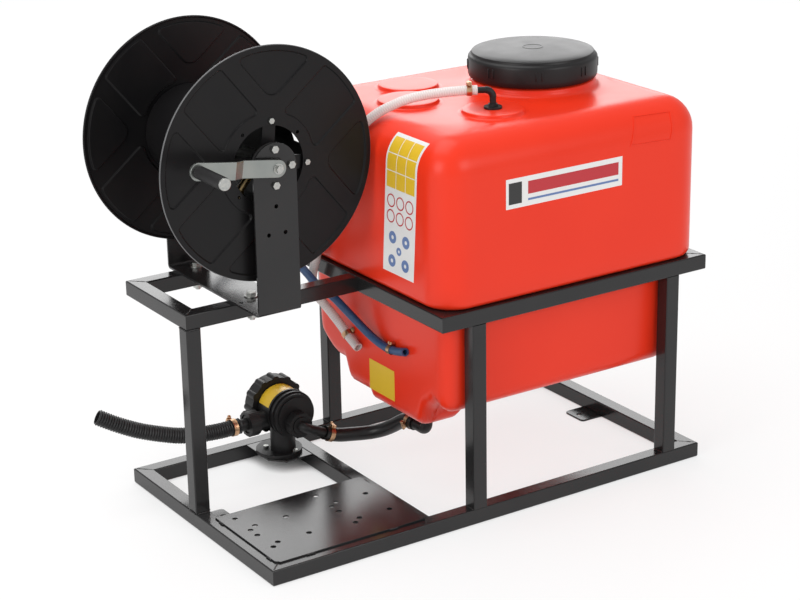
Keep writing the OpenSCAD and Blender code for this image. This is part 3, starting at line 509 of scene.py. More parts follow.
def filled(loops):
    """Triangles between an outer loop and its holes, as indices into the loops' points in order."""
    points, edges = [], []
    for loop in loops:
        start = len(points)
        points += [Vector(p) for p in loop]
        edges += [(start + i, start + (i + 1) % len(loop)) for i in range(len(loop))]
    found = geometry.delaunay_2d_cdt(points, edges, [], 0, 1e-5)
    spots, triangles, sources = found[0], found[2], found[3]
    kept = []
    for triangle in triangles:
        x, y = sum((spots[i] for i in triangle), Vector((0, 0))) / 3
        if inside_loops(loops, x, y):
            kept.append(tuple(sources[i][0] for i in triangle))
    return kept


def rows_between(starts, count):
    """Quads that join two closed rows of points, given by their first indices."""
    a, b = starts
    return [(a + i, a + (i + 1) % count, b + (i + 1) % count, b + i) for i in range(count)]


def cut_plate(outline, holes, thick, edge, place):
    """A flat plate with holes and all its edges broken. Loops are counterclockwise (x, y) in mm."""
    loops = [outline] + holes
    tight = [grown(outline, -edge)] + [grown(hole, edge) for hole in holes]
    points, starts = [], []
    for level, some in ((0, tight), (edge, loops), (thick - edge, loops), (thick, tight)):
        starts.append(len(points))
        points += [place @ (Vector((x, y, level)) * MM) for loop in some for x, y in loop]
    faces = []
    for low, high in zip(starts, starts[1:]):
        shift = 0
        for loop in loops:
            faces += rows_between((low + shift, high + shift), len(loop))
            shift += len(loop)
    for start in (starts[0], starts[-1]):
        faces += [tuple(start + i for i in f) for f in filled(tight)]
    return points, faces


def even_shading(made):
    """Lets large flat faces keep their own shading beside small rounds."""
    weigh = made.modifiers.new("shading", "WEIGHTED_NORMAL")
    weigh.mode = "FACE_AREA"
    weigh.weight = 100
    weigh.keep_sharp = True


def softened(node, finish, edge, segments=2, angle=30.0):
    """Stands for a CAD node: the same shape with its sharp edges broken by a small round."""
    body = NODES[node]["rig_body"]
    mesh = NODES[node].data.copy()
    work = bmesh.new()
    work.from_mesh(mesh)
    bmesh.ops.remove_doubles(work, verts=work.verts, dist=1e-6)
    bmesh.ops.dissolve_limit(work, angle_limit=math.radians(0.5), verts=work.verts, edges=work.edges)
    work.to_mesh(mesh)
    work.free()
    made = piece(node + "_finished", mesh, finish, body, [node])
    mesh.shade_smooth()
    mesh.set_sharp_from_angle(angle=math.radians(50))
    bevel = made.modifiers.new("edge", "BEVEL")
    bevel.width = edge * MM
    bevel.segments = segments
    bevel.limit_method = "ANGLE"
    bevel.angle_limit = math.radians(angle)
    bevel.use_clamp_overlap = True
    even_shading(made)
    return made


# ---------- hoses ----------

CLEAR_ROUTE = [
    (560, 162, 783), (542, 172, 783), (523, 183, 782), (504, 195, 780), (484, 208, 777),
    (462, 220, 773), (442, 231, 767), (423, 242, 758), (405, 252, 748), (388, 261, 735),
    (375, 270, 720), (364, 280, 700), (357, 292, 676), (352, 305, 649), (350, 318, 620),
    (348, 332, 590), (346, 346, 560), (345, 360, 530), (345, 374, 500), (345, 386, 472),
    (346, 397, 446), (347, 410, 418), (348, 421, 392), (351, 426, 370), (357, 422, 352),
    (367, 410, 334), (377, 395, 314), (385, 379, 295), (389, 361, 279), (391, 344, 269),
    (391, 328, 263),
]
BLUE_ROUTE = [
    (145, 576, 666), (146, 576, 640), (149, 577, 612), (156, 578, 584), (168, 578, 556),
    (184, 576, 530), (204, 570, 507), (226, 561, 488), (248, 548, 473), (268, 531, 461),
    (285, 511, 453), (298, 489, 446), (308, 466, 439), (315, 442, 430), (320, 420, 421),
    (325, 400, 408), (331, 383, 394), (340, 368, 382), (352, 352, 369), (364, 334, 350),
    (374, 315, 332), (382, 294, 316), (388, 270, 303), (391, 245, 296), (392, 220, 294),
    (393, 192, 297), (393, 164, 304),
]
SUCTION_ROUTE = [
    (190, 455, 104), (170, 455, 104), (150, 455, 104), (126, 456, 105), (102, 457, 107),
    (78, 460, 110), (54, 463, 115), (30, 467, 122), (6, 471, 130), (-16, 476, 138),
    (-38, 481, 148), (-58, 487, 158), (-76, 493, 168), (-91, 498, 177),
]
LINK_ROUTE = [
    (333, 370, 84), (349, 370, 76.5), (368, 365, 72), (388, 358, 71), (408, 349, 71),
    (427, 336, 74), (442, 319, 82), (452, 299, 95), (458, 281, 108), (461, 266, 116),
    (461, 252, 117), (461, 238, 117),
]


def curve_through(route, step):
    """Even points in metres along a smooth curve through a route."""
    pts = [site(*p) for p in route]
    pts = [2 * pts[0] - pts[1]] + pts + [2 * pts[-1] - pts[-2]]
    dense = []
    for i in range(1, len(pts) - 2):
        p0, p1, p2, p3 = pts[i - 1:i + 3]
        for k in range(16):
            t = k / 16
            dense.append(0.5 * (2 * p1 + (p2 - p0) * t + (2 * p0 - 5 * p1 + 4 * p2 - p3) * t ** 2
                                + (3 * p1 - p0 - 3 * p2 + p3) * t ** 3))
    dense.append(pts[-2])
    reach = [0.0]
    for a, b in zip(dense, dense[1:]):
        reach.append(reach[-1] + (b - a).length)
    count = max(2, round(reach[-1] / (step * MM)))
    even, j = [], 0
    for i in range(count + 1):
        want = reach[-1] * i / count
        while j < len(reach) - 2 and reach[j + 1] < want:
            j += 1
        span = reach[j + 1] - reach[j]
        even.append(dense[j].lerp(dense[j + 1], (want - reach[j]) / span))
    return even


def length_of(path):
    return sum((b - a).length for a, b in zip(path, path[1:]))


def frames_along(path):
    """A placing matrix at each point of a path, its +Z along the path and its sides carried without twist."""
    made = []
    side = Vector((0, 0, 1))
    for i, p in enumerate(path):
        ahead = (path[min(i + 1, len(path) - 1)] - path[max(i - 1, 0)]).normalized()
        side = (side - ahead * side.dot(ahead)).normalized()
        other = ahead.cross(side)
        turn = Matrix((side, other, ahead)).transposed().to_4x4()
        made.append(Matrix.Translation(p) @ turn)
    return made


def hose_mesh(name, path, radius_at, bore, sides):
    """A hose along a path, open at its ends. radius_at gives its outside radius at a length, all in mm."""
    places = frames_along(path)
    gap = length_of(path) / (len(path) - 1) / MM
    rings = [(places[i], radius_at(i * gap), i * gap) for i in range(len(path))]
    open_deep, lip = 25, 0.6
    deep = min(len(path) - 1, max(1, round(open_deep / gap)))
    first, last = rings[0], rings[-1]
    outside = [(first[0], bore + lip, 0.0)] + rings + [(last[0], bore + lip, last[2])]
    inside = [(places[i], bore, i * gap) for i in range(len(path) - 1, len(path) - 1 - deep, -1)]
    inside_start = [(places[i], bore, i * gap) for i in range(deep, -1, -1)]
    rows = inside_start + outside + inside
    points = []
    for place, radius, _ in rows:
        for k in range(sides):
            a = 2 * math.pi * k / sides
            points.append(place @ Vector((radius * MM * math.cos(a), radius * MM * math.sin(a), 0)))
    faces = quads(len(rows), sides)
    # The plugs deep in the bore close the mesh
    faces.append(tuple(range(sides)))
    faces.append(tuple(range((len(rows) - 1) * sides, len(rows) * sides)))
    mesh = bpy.data.meshes.new(name)
    mesh.from_pydata([tuple(p) for p in points], [], faces)
    chart = mesh.uv_layers.new(name="hose")
    for face in mesh.polygons:
        corner_columns = [mesh.loops[i].vertex_index % sides for i in face.loop_indices]
        wraps = max(corner_columns) - min(corner_columns) > sides / 2
        for i, column in zip(face.loop_indices, corner_columns):
            row = mesh.loops[i].vertex_index // sides
            column = column + sides if wraps and column < sides / 2 else column
            chart.data[i].uv = (column / sides, rows[row][2] * MM)
    work = bmesh.new()
    work.from_mesh(mesh)
    bmesh.ops.recalc_face_normals(work, faces=work.faces)
    work.to_mesh(mesh)
    work.free()
    mesh.shade_smooth()
    mesh.set_sharp_from_angle(angle=math.radians(50))
    return mesh


def hose_clamp(place, radius):
    """A worm-drive clamp: a rolled band, a housing and its screw."""
    band = radius + 0.6
    half = 4.5
    profile = [(band, -half), (band + 0.9, -half - 0.3), (band + 0.7, -half + 1), (band + 0.7, half - 1),
               (band + 0.9, half + 0.3), (band, half)]
    parts = [turned(profile, 40, place)]
    over = place @ Matrix.Translation(Vector((radius + 4.0, 0, 0)) * MM)
    parts.append(rounded_block((6.0, 11.0, 10.0), 1.2, over))
    along = over @ Matrix.Translation(Vector((1.2, 0, 0)) * MM) @ Matrix.Rotation(math.radians(90), 4, "X")
    screw = [(0, -8), (2.6, -8), (2.6, 6.5), (3.7, 6.8), (3.7, 9.8), (3.3, 10.2), (1.0, 10.2),
             (1.0, 9.2), (0, 9.2)]
    parts.append(turned(screw, 20, along, closed=False))
    return joined(parts)


def clamp_on(path, distance, radius, spin):
    """A clamp at a distance in mm along a path, its screw turned about the hose by an angle in degrees."""
    places = frames_along(path)
    index = min(len(path) - 2, max(1, round(distance * MM / (length_of(path) / (len(path) - 1)))))
    return hose_clamp(places[index] @ Matrix.Rotation(math.radians(spin), 4, "Z"), radius)


# Outside radii of the hoses, and how far in from a hose's end the clamp on its barb sits
CLEAR_R, BLUE_R, SUCTION_R, LINK_R = 9.0, 8.0, 16.0, 14.0
CLAMP_IN = 14


def hoses():
    clear_path = curve_through(CLEAR_ROUTE, 5)
    clear = piece("clear_return_hose",
                  hose_mesh("clear_return_hose", clear_path, lambda s: CLEAR_R, 6.5, 28),
                  CLEAR_HOSE, replaced=["clear_hose"])
    clear_clamp = shaped("clear_hose_end_clamp",
                         clamp_on(clear_path, length_of(clear_path) / MM - 42, CLEAR_R, 150),
                         COPPERY, replaced=["clear_hose_clamp"])
    length_of(clear_path)

    blue_path = curve_through(BLUE_ROUTE, 5)
    blue = piece("blue_pressure_hose",
                 hose_mesh("blue_pressure_hose", blue_path, lambda s: BLUE_R, 5.0, 28),
                 BLUE_HOSE, replaced=["blue_hose"])
    blue_clamp = shaped("blue_hose_end_clamp",
                        clamp_on(blue_path, length_of(blue_path) / MM - 52, BLUE_R, 20),
                        COPPERY, replaced=["blue_hose_clamp"])
    length_of(blue_path)

    suction_path = curve_through(SUCTION_ROUTE, 0.8)
    rib, rib_deep = 5.2, 2.2

    def ribbed(s):
        return SUCTION_R - rib_deep * (0.5 - 0.5 * math.cos(2 * math.pi * s / rib)) ** 0.7

    suction = piece("ribbed_suction_hose",
                    hose_mesh("ribbed_suction_hose", suction_path, ribbed, 12.0, 32),
                    SUCTION_HOSE, replaced=["suction_hose"])
    length_of(suction_path)

    link_path = curve_through(LINK_ROUTE, 5)
    piece("filter_to_tank_hose",
          hose_mesh("filter_to_tank_hose", link_path, lambda s: LINK_R, 11.0, 32),
          LINK_HOSE, replaced=["link_hose"])
    clamps = joined([
        clamp_on(clear_path, CLAMP_IN, CLEAR_R, 0), clamp_on(blue_path, CLAMP_IN, BLUE_R, 90),
        clamp_on(suction_path, CLAMP_IN, SUCTION_R, 60), clamp_on(link_path, CLAMP_IN, LINK_R, 10),
        clamp_on(link_path, length_of(link_path) / MM - CLAMP_IN, LINK_R, 90),
    ])
    shaped("port_hose_clamps", clamps, COPPERY, replaced=["port_clamps"])


hoses()


# ---------- tank ----------

TANK_X0, TANK_X1, TANK_Y0, TANK_Y1 = 372.0, 980.0, 5.0, 540.0
LOW_X0, LOW_X1, LOW_Y0, LOW_Y1 = 402.0, 950.0, 35.0, 513.0
TOP, WAIST, FLOOR = 740.0, 425.0, 208.0
SIDE_R, TOP_R, LOW_SIDE_R, LOW_EDGE_R, WAIST_R = 62.0, 65.0, 32.0, 30.0, 14.0
TAPER = 12.0
NECK_X, NECK_Y = 769.0, BASE_W / 2
NECK_R, BORE_R, PLINTH_R = 112.0, 104.0, 121.0
OUTLET_X, OUTLET_Y, OUTLET_R = 461.0, 196.0, 20.0
# The sump is a shelf below the floor with a well in it, and the floor's back left corner is drawn up
SHELF_DEEP, WELL_DEEP, CORNER_UP, NOTCH_UP = 40.0, 13.0, 35.0, 13.0
WALL = 5.0


def smooth_step(low, high, value):
    t = min(1.0, max(0.0, (value - low) / (high - low)))
    return t * t * (3 - 2 * t)


def reach_to(centre, angle, rect, radius):
    """Where a ray from a centre meets a rounded rectangle, as a distance."""
    x0, x1, y0, y1 = rect
    mid_x, mid_y, half_x, half_y = (x0 + x1) / 2, (y0 + y1) / 2, (x1 - x0) / 2, (y1 - y0) / 2
    far = 0.0
    for _ in range(60):
        dx = abs(centre[0] + far * math.cos(angle) - mid_x) - (half_x - radius)
        dy = abs(centre[1] + far * math.sin(angle) - mid_y) - (half_y - radius)
        inside = math.hypot(max(dx, 0), max(dy, 0)) + min(max(dx, dy), 0) - radius
        far -= inside
        if inside > -0.001:
            break
    return far


def outline_angles(rect, radius, corner_steps, side_steps_of):
    """Ray angles from the middle of a rounded rectangle, closest together at its corners."""
    x0, x1, y0, y1 = rect
    mid = ((x0 + x1) / 2, (y0 + y1) / 2)
    corners = [(x1 - radius, y1 - radius, 0), (x0 + radius, y1 - radius, 90),
               (x0 + radius, y0 + radius, 180), (x1 - radius, y0 + radius, 270)]
    spots = []
    for i, (cx, cy, start) in enumerate(corners):
        bend = arc(cx, cy, radius, start, start + 90, corner_steps)
        after = corners[(i + 1) % 4]
        ahead = arc(after[0], after[1], radius, after[2], after[2], 1)[0]
        spots += bend
        last = bend[-1]
        side_steps = side_steps_of[i]
        for k in range(1, side_steps):
            t = k / side_steps
            spots.append((last[0] + (ahead[0] - last[0]) * t, last[1] + (ahead[1] - last[1]) * t))
    return [math.atan2(y - mid[1], x - mid[0]) for x, y in spots]


UPPER = (TANK_X0, TANK_X1, TANK_Y0, TANK_Y1)
LOWER = (LOW_X0, LOW_X1, LOW_Y0, LOW_Y1)
# The left side, which carries the sump, takes the most steps: back, left, front, right
ANGLES = outline_angles(UPPER, SIDE_R, 10, (22, 72, 22, 22))


def inset(rect, by):
    return (rect[0] + by, rect[1] - by, rect[2] + by, rect[3] - by)


def rect_ring(rect, radius, height):
    """One ring of the tank's skin on a rounded rectangle."""
    mid = ((rect[0] + rect[1]) / 2, (rect[2] + rect[3]) / 2)
    radius = max(radius, 1.0)
    made = []
    for a in ANGLES:
        far = reach_to(mid, a, rect, radius)
        made.append((mid[0] + far * math.cos(a), mid[1] + far * math.sin(a), height))
    return made


def round_ring(x, y, radius, height):
    return [(x + radius * math.cos(a), y + radius * math.sin(a), height) for a in ANGLES]


def between(first, second, share, height):
    return [(a[0] + (b[0] - a[0]) * share, a[1] + (b[1] - a[1]) * share, height)
            for a, b in zip(first, second)]


def tapered(height, wall):
    """The lower body's outline at a height: it draws in to the right, front and back towards its floor."""
    share = min(1.0, max(0.0, (WAIST - height) / (WAIST - FLOOR)))
    x0, x1, y0, y1 = inset(LOWER, wall)
    return (x0, x1 - TAPER * share, y0 + 0.5 * TAPER * share, y1 - TAPER * share)


def sump_drop(x, y, height):
    """How far the skin lies below the plain floor at a place, fading out up the wall."""
    near = 1 - smooth_step(485, 540, x)
    shelf = near * smooth_step(105, 150, y) * (1 - smooth_step(378, 400, y))
    well = near * smooth_step(126, 134, y) * (1 - smooth_step(302, 310, y))
    corner = smooth_step(425, 505, y) * (1 - smooth_step(440, 530, x))
    notch = smooth_step(64, 84, y) * (1 - smooth_step(92, 108, y)) * (1 - smooth_step(425, 455, x))
    fade = 1 - smooth_step(FLOOR + 10, FLOOR + 110, height)
    return fade * (SHELF_DEEP * shelf + WELL_DEEP * well - CORNER_UP * corner - NOTCH_UP * notch)


def tank_skin(wall):
    """Rings of the tank's skin from the outlet up to the neck, drawn in by a wall."""
    rings = []
    floor_z = FLOOR + wall
    edge = LOW_EDGE_R - wall
    floor_rect = tapered(floor_z, wall)
    rim = rect_ring(inset(floor_rect, edge), LOW_SIDE_R - wall - edge, floor_z)
    mouth = 9.0 + (2.0 if wall else 0.0)
    boss = round_ring(OUTLET_X, OUTLET_Y, OUTLET_R - wall, floor_z)
    rings.append(round_ring(OUTLET_X, OUTLET_Y, mouth, floor_z - (4.0 if not wall else 0.0)))
    if not wall:
        rings.append(round_ring(OUTLET_X, OUTLET_Y, OUTLET_R - 1, floor_z - 4))
        rings.append(round_ring(OUTLET_X, OUTLET_Y, OUTLET_R, floor_z - 3))
    rings.append(boss)
    floor_steps = 30
    for i in range(1, floor_steps):
        rings.append(between(boss, rim, i / floor_steps, floor_z))
    for r, h in arc(0, 0, edge, -90, 0, 6):
        height = floor_z + edge + h
        rings.append(rect_ring(inset(tapered(height, wall), edge - r), LOW_SIDE_R - wall - edge + r, height))
    for height in range(250, 420, 20):
        rings.append(rect_ring(tapered(height, wall), LOW_SIDE_R - wall, height))
    waist = WAIST + wall
    foot = WAIST_R - wall if wall < WAIST_R - 2 else 2.0
    rings.append(rect_ring(inset(LOWER, wall), LOW_SIDE_R - wall, waist - 4))
    rings.append(rect_ring(inset(LOWER, wall - 2), LOW_SIDE_R - wall + 2, waist - 0.5))
    rings.append(rect_ring(inset(UPPER, wall + foot + 8), SIDE_R - wall - foot - 8, waist))
    for r, h in arc(0, 0, foot, -90, 0, 5):
        rings.append(rect_ring(inset(UPPER, wall + foot - r), SIDE_R - wall - foot + r, waist + foot + h))
    for height in (470, 510, 550, 590, 630, 660):
        rings.append(rect_ring(inset(UPPER, wall), SIDE_R - wall, height))
    crown = TOP_R - wall
    for r, h in arc(0, 0, crown, 0, 90, 10):
        rings.append(rect_ring(inset(UPPER, wall + crown - r), SIDE_R - wall - crown + r, TOP - TOP_R + h))
    brim = rect_ring(inset(UPPER, TOP_R), 1.0, TOP - wall)
    root = round_ring(NECK_X, NECK_Y, PLINTH_R + 34, TOP - wall)
    for share in (0.15, 0.32, 0.5, 0.68, 0.85):
        rings.append(between(brim, root, share, TOP - wall))
    if wall:
        rings.append(round_ring(NECK_X, NECK_Y, PLINTH_R, TOP - wall + 2))
        rings.append(round_ring(NECK_X, NECK_Y, BORE_R + 3, TOP - wall + 4))
        rings.append(round_ring(NECK_X, NECK_Y, BORE_R, TOP - wall + 7))
        for height in (20, 40, 59):
            rings.append(round_ring(NECK_X, NECK_Y, BORE_R, TOP + height))
        return rings
    flare = [(34, 0.0), (24, 0.5), (14, 1.6), (7, 3.4), (2.5, 6.5), (0.5, 10), (0, 14), (-0.6, 16.6),
             (-2.2, 17.8), (-6, 18.2)]
    for out, up in flare:
        rings.append(round_ring(NECK_X, NECK_Y, PLINTH_R + out, TOP + up))
    neck = [(2.4, 18.6), (0.8, 19.6), (0, 22), (0, 40), (0, 58.8), (-0.5, 59.8), (-1.5, 60), (-7, 60)]
    for out, up in neck:
        rings.append(round_ring(NECK_X, NECK_Y, NECK_R + out, TOP + up))
    return rings


BOSS_R, BOSS_UP = 58.0, 8.0
BOSSES = [(585, NECK_Y - 125), (567, 403), (501, 304)]
FRAME_MARK = [(797, 672), (893, 668), (902, 722.5), (817, 726.5)]


def on_front(u, v):
    """Up the tank's front and over its rounded top edge. v is the way up."""
    bend = TOP - TOP_R
    if v <= bend:
        return (u, TANK_Y0, v), (0, -1, 0)
    a = (v - bend) / TOP_R
    out = (0, -math.cos(a), math.sin(a))
    return (u, TANK_Y0 + TOP_R + TOP_R * out[1], bend + TOP_R * out[2]), out


def raised_frame():
    """A thin raised frame on the front's right end, with its upper half over the rounded edge."""
    half, level, steps = 1.3, 1.0, 12
    outline = []
    for (u0, v0), (u1, v1) in zip(FRAME_MARK, FRAME_MARK[1:] + FRAME_MARK[:1]):
        outline += [(u0 + (u1 - u0) * i / steps, v0 + (v1 - v0) * i / steps) for i in range(steps)]
    points = []
    for by, lift in ((-half, -level), (-half, level), (half, level), (half, -level)):
        for u, v in grown(outline, by):
            at, out = on_front(u, v)
            points.append(site(*(Vector(at) + Vector(out) * lift)))
    return points, quads(4, len(outline), wrap_rows=True)


def tank():
    rings = tank_skin(0.0) + tank_skin(WALL)[::-1]
    points = []
    for ring in rings:
        for x, y, z in ring:
            points.append(site(x, y, z - sump_drop(x, y, z)))
    parts = [(points, quads(len(rings), len(ANGLES), wrap_rows=True))]
    # Round bosses for fittings, each with a soft foot on the flat top
    foot = [(0, -2), (BOSS_R + 4, -2), (BOSS_R + 9, 0.05), (BOSS_R + 4, 0.5), (BOSS_R + 1.4, 1.8),
            (BOSS_R + 0.3, 4)]
    crown = arc(BOSS_R - 2.5, BOSS_UP - 2.5, 2.5, 0, 90, 4)
    crown += [(BOSS_R - 14, BOSS_UP + 0.1), (0, BOSS_UP + 0.1)]
    for x, y in BOSSES:
        parts.append(turned(foot + crown, 72, Matrix.Translation(site(x, y, TOP)), closed=False))
    parts.append(raised_frame())
    shaped("moulded_tank", joined(parts), RED, replaced=["tank_shell"], sharp=50)


tank()


# ---------- lid ----------

LID_R = 125.0


def lid():
    place = Matrix.Translation(site(NECK_X, NECK_Y, TOP))
    profile = [(116, 21), (120.5, 21), (123.6, 23.4), (LID_R - 0.2, 27), (LID_R, 32), (LID_R, 57),
               (124.2, 60.6), (122.2, 63.2), (119.6, 64.6), (118.8, 66), (118.6, 68), (117.4, 69.8),
               (113, 71.2), (100, 72.7), (80, 74.0), (50, 75.0), (24, 75.4), (0, 75.5), (0, 65.9),
               (116, 65.9)]
    parts = [turned(profile, 160, place)]
    # Small paired lugs round the skirt give the hand a hold
    pairs, first, step_apart = 8, 14, 2.6
    for i in range(pairs):
        for step in (-step_apart, step_apart):
            a = math.radians(360 / pairs * i + first + step)
            spot = place @ Matrix.Rotation(a, 4, "Z") @ Matrix.Translation(Vector((LID_R, 0, 45)) * MM)
            parts.append(rounded_block((3.6, 3.0, 18.0), 1.2, spot))
    # A plain raised ring marks the middle of the lid
    parts.append(turned([(17, 75), (18, 75.9), (20, 75.9), (21, 75)], 64, place))
    shaped("screw_lid", joined(parts), LID_BLACK, "lid", ["tank_lid"], sharp=32)


lid()


# ---------- reel ----------

FLANGE_Y0 = limits("reel_flange_front")[0][1]
FLANGE_Y1 = limits("reel_flange_back")[1][1]
HUB_R = 71.0
# The four bolts of each flange stand on a ring, the first at this angle in degrees
BOLT_ANGLE, BOLT_RING_R, BOLT_HOLE_R = 84.0, 79.0, 3.4
# How deep the panels are pressed, how thick the sheet is, and the radius of its rolled rim
PRESS, SHEET, ROLL_R = 3.4, 1.8, 2.4
# Wide panels have straight sides; narrow ones come to a rounded tip towards the hub
PANEL_IN, PANEL_OUT, PANEL_HALF = 94.0, 205.0, 50.5
TIP, TIP_ROUND, PANEL_ROUND = 113.5, 24.0, 9.0
# The pressed wall round a panel: how far in from its edge, and how deep there as a share
WALL_ROWS = [(0.0, 0.0), (0.9, 0.18), (2.1, 0.82), (3.0, 1.0)]
# Where points lie along a panel's rim side, as shares of the way to its corners
RIM_SHARES = (-0.6, -0.36, -0.12, 0.12, 0.36, 0.6)


def about_hub(loop, degrees):
    a = math.radians(degrees)
    return [(x * math.cos(a) - y * math.sin(a), x * math.sin(a) + y * math.cos(a)) for x, y in loop]


def bow(r, end, shares):
    """Corners without rounding along a circle, at shares of an end angle."""
    return [(r * math.cos(end * t), r * math.sin(end * t), 0) for t in shares]


def wide_panel(inwards):
    """Counterclockwise outline of a panel between the hub and the rim, drawn in by some millimetres."""
    r0, r1, half = PANEL_IN + inwards, PANEL_OUT - inwards, PANEL_HALF - inwards
    a0, a1 = math.asin(half / r0), math.asin(half / r1)
    corner = PANEL_ROUND - inwards
    return rounded_outline(
        [(r1 * math.cos(a1), -half, corner)] + bow(r1, a1, RIM_SHARES)
        + [(r1 * math.cos(a1), half, corner), (r0 * math.cos(a0), half, corner)]
        + bow(r0, a0, (0.5, 0.25, 0, -0.25, -0.5)) + [(r0 * math.cos(a0), -half, corner)])


def narrow_panel(inwards):
    """Counterclockwise outline of a panel that opens from its tip to the rim at a right angle."""
    tip, r = TIP + inwards * math.sqrt(2), PANEL_OUT - inwards
    corner_x = (tip + math.sqrt(2 * r * r - tip * tip)) / 2
    corner_y = corner_x - tip
    end = math.atan2(corner_y, corner_x)
    corner = PANEL_ROUND - inwards
    return rounded_outline(
        [(tip, 0, TIP_ROUND - inwards), (corner_x, -corner_y, corner)] + bow(r, end, RIM_SHARES)
        + [(corner_x, corner_y, corner)])


def flange_sheet():
    """One side of a flange: (x, z, depth) points, faces, and its open rows at rim, hub and bolt holes."""
    open_rows = [circle(0, 0, FLANGE_R - 5, 180), circle(0, 0, HUB_R, 96)]
    open_rows += [about_hub(circle(BOLT_RING_R, 0, BOLT_HOLE_R, 16), BOLT_ANGLE + 45 + 90 * k)
                  for k in range(4)]
    panels = []
    for k in range(4):
        for outline, turn in ((wide_panel, 45), (narrow_panel, 0)):
            panels.append([about_hub(outline(inwards), BOLT_ANGLE + turn + 90 * k)
                           for inwards, _ in WALL_ROWS])
    level = open_rows + [rows[0] for rows in panels]
    points = [(x, z, 0.0) for row in level for x, z in row]
    faces = filled(level)
    start = sum(len(row) for row in open_rows)
    for rows in panels:
        previous = start
        start += len(rows[0])
        for row, (_, share) in list(zip(rows, WALL_ROWS))[1:]:
            here = len(points)
            points += [(x, z, PRESS * share) for x, z in row]
            faces += rows_between((previous, here), len(row))
            previous = here
        faces += [tuple(previous + i for i in f) for f in filled([rows[-1]])]
    return points, faces, open_rows


def flange_mesh(name, sheet, y, inward):
    """A pressed steel disc with a rolled rim. inward is +1 where the drum lies towards +Y."""
    flat, sheet_faces, open_rows = sheet

    def at(x, z, depth):
        return site(REEL_X + x, y + inward * depth, REEL_Z + z)

    points = [at(x, z, depth) for x, z, depth in flat] + [at(x, z, depth + SHEET) for x, z, depth in flat]
    faces = sheet_faces + [tuple(i + len(flat) for i in f) for f in sheet_faces]
    start = len(open_rows[0])
    for row in open_rows[1:]:
        faces += rows_between((start, start + len(flat)), len(row))
        start += len(row)
    steps = len(open_rows[0])
    previous = 0
    for r, depth in arc(FLANGE_R - ROLL_R, ROLL_R, ROLL_R, -110, 110, 8):
        here = len(points)
        points += [at(x, z, depth) for x, z in circle(0, 0, r, steps)]
        faces += rows_between((previous, here), steps)
        previous = here
    faces += rows_between((previous, len(flat)), steps)
    return mesh_from(name, points, faces, sharp=24)


def flanges():
    sheet = flange_sheet()
    for name, y, inward, finish, node in (("front_flange", FLANGE_Y0, 1, REEL_RIM_HIGHLIGHT, "reel_flange_front"),
                                          ("back_flange", FLANGE_Y1, -1, REEL, "reel_flange_back")):
        even_shading(piece(name, flange_mesh(name, sheet, y, inward), finish, "reel", [node]))


flanges()


def rest_of_reel():
    for node in ("reel_spiders", "reel_drum"):
        softened(node, REEL, 0.6)
    softened("reel_stand", PAINT, 0.8)
    softened("shaft_bearings", IRON, 0.8)
    for node, edge in (("reel_shaft", 0.6), ("bearing_bolts", 0.5), ("flange_bolts", 0.5),
                       ("stand_bolts", 0.5), ("stand_washers", 0.3), ("stand_nuts", 0.5),
                       ("crank_bolt", 0.5), ("grip_pin", 0.8)):
        softened(node, ZINC, edge)
    softened("crank_arm", CRANK_ZINC, 0.8)
    softened("reel_outlet", BRASS, 0.3)
    softened("swivel_inlet", BRASS, 0.5)
    softened("crank_grip", GRIP_BLACK, 1.5, segments=3)


rest_of_reel()


# ---------- skid ----------

TUBE = (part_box("base_rail_front")[1].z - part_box("base_rail_front")[0].z) / MM
TUBE_ROUND = 2.6
# The pump plate's hole patterns, as the pump's feet need them
PUMP_X, PUMP_Y, PUMP_HOLE_R = 47.5, 80.0, 5.0
PUMP_PITCH, PUMP_MID = (175.0, 142.0), 25.0
FOOT_STEP, FOOT_PITCH = (16.5, 12.5), (66.0, 83.5)
LUG_REACH, LUG_HOLE_IN, LUG_HOLE_R = 50.0, 35.0, 5.5
# Rails: the side of the outer face, then whether either end is mitred
RAILS = {
    "base_rail_front": (-1, True, True), "base_rail_back": (1, True, True),
    "base_rail_left": (-1, True, True), "base_rail_right": (1, True, True),
    "ring_rail_front": (-1, True, True), "ring_rail_back": (1, True, True),
    "ring_rail_left": (-1, True, True), "ring_rail_right": (1, True, True),
    "shelf_rail_front": (-1, True, False), "shelf_rail_back": (1, True, False),
    "shelf_rail_left": (-1, True, True), "base_cross_member": (1, False, False),
    "tank_post_front_left": (1, False, False), "tank_post_front_right": (1, False, False),
    "tank_post_back_left": (1, False, False), "tank_post_back_right": (1, False, False),
    "shelf_post": (1, False, False),
}


def square_tube(node, outer, start_mitre, end_mitre):
    """A bar in the place of a CAD tube, its long edges rounded as drawn tube's are."""
    low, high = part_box(node)
    size = high - low
    along = max(range(3), key=lambda i: size[i])
    across = 1 if along == 0 else 0
    work = bmesh.new()
    bmesh.ops.create_cube(work, size=2.0)
    long_edges = [e for e in work.edges if e.verts[0].co[along] * e.verts[1].co[along] < 0]
    for v in work.verts:
        ends = v.co.copy()
        v.co = Vector([low[i] if ends[i] < 0 else high[i] for i in range(3)])
        if ends[across] != outer and (start_mitre if ends[along] < 0 else end_mitre):
            v.co[along] -= ends[along] * TUBE * MM
    bmesh.ops.bevel(work, geom=long_edges, offset=TUBE_ROUND * MM, segments=4, profile=0.5, affect="EDGES")
    mesh = bpy.data.meshes.new(node)
    work.to_mesh(mesh)
    work.free()
    mesh.shade_smooth()
    mesh.set_sharp_from_angle(angle=math.radians(30))
    even_shading(piece(node + "_painted", mesh, PAINT, replaced=[node]))


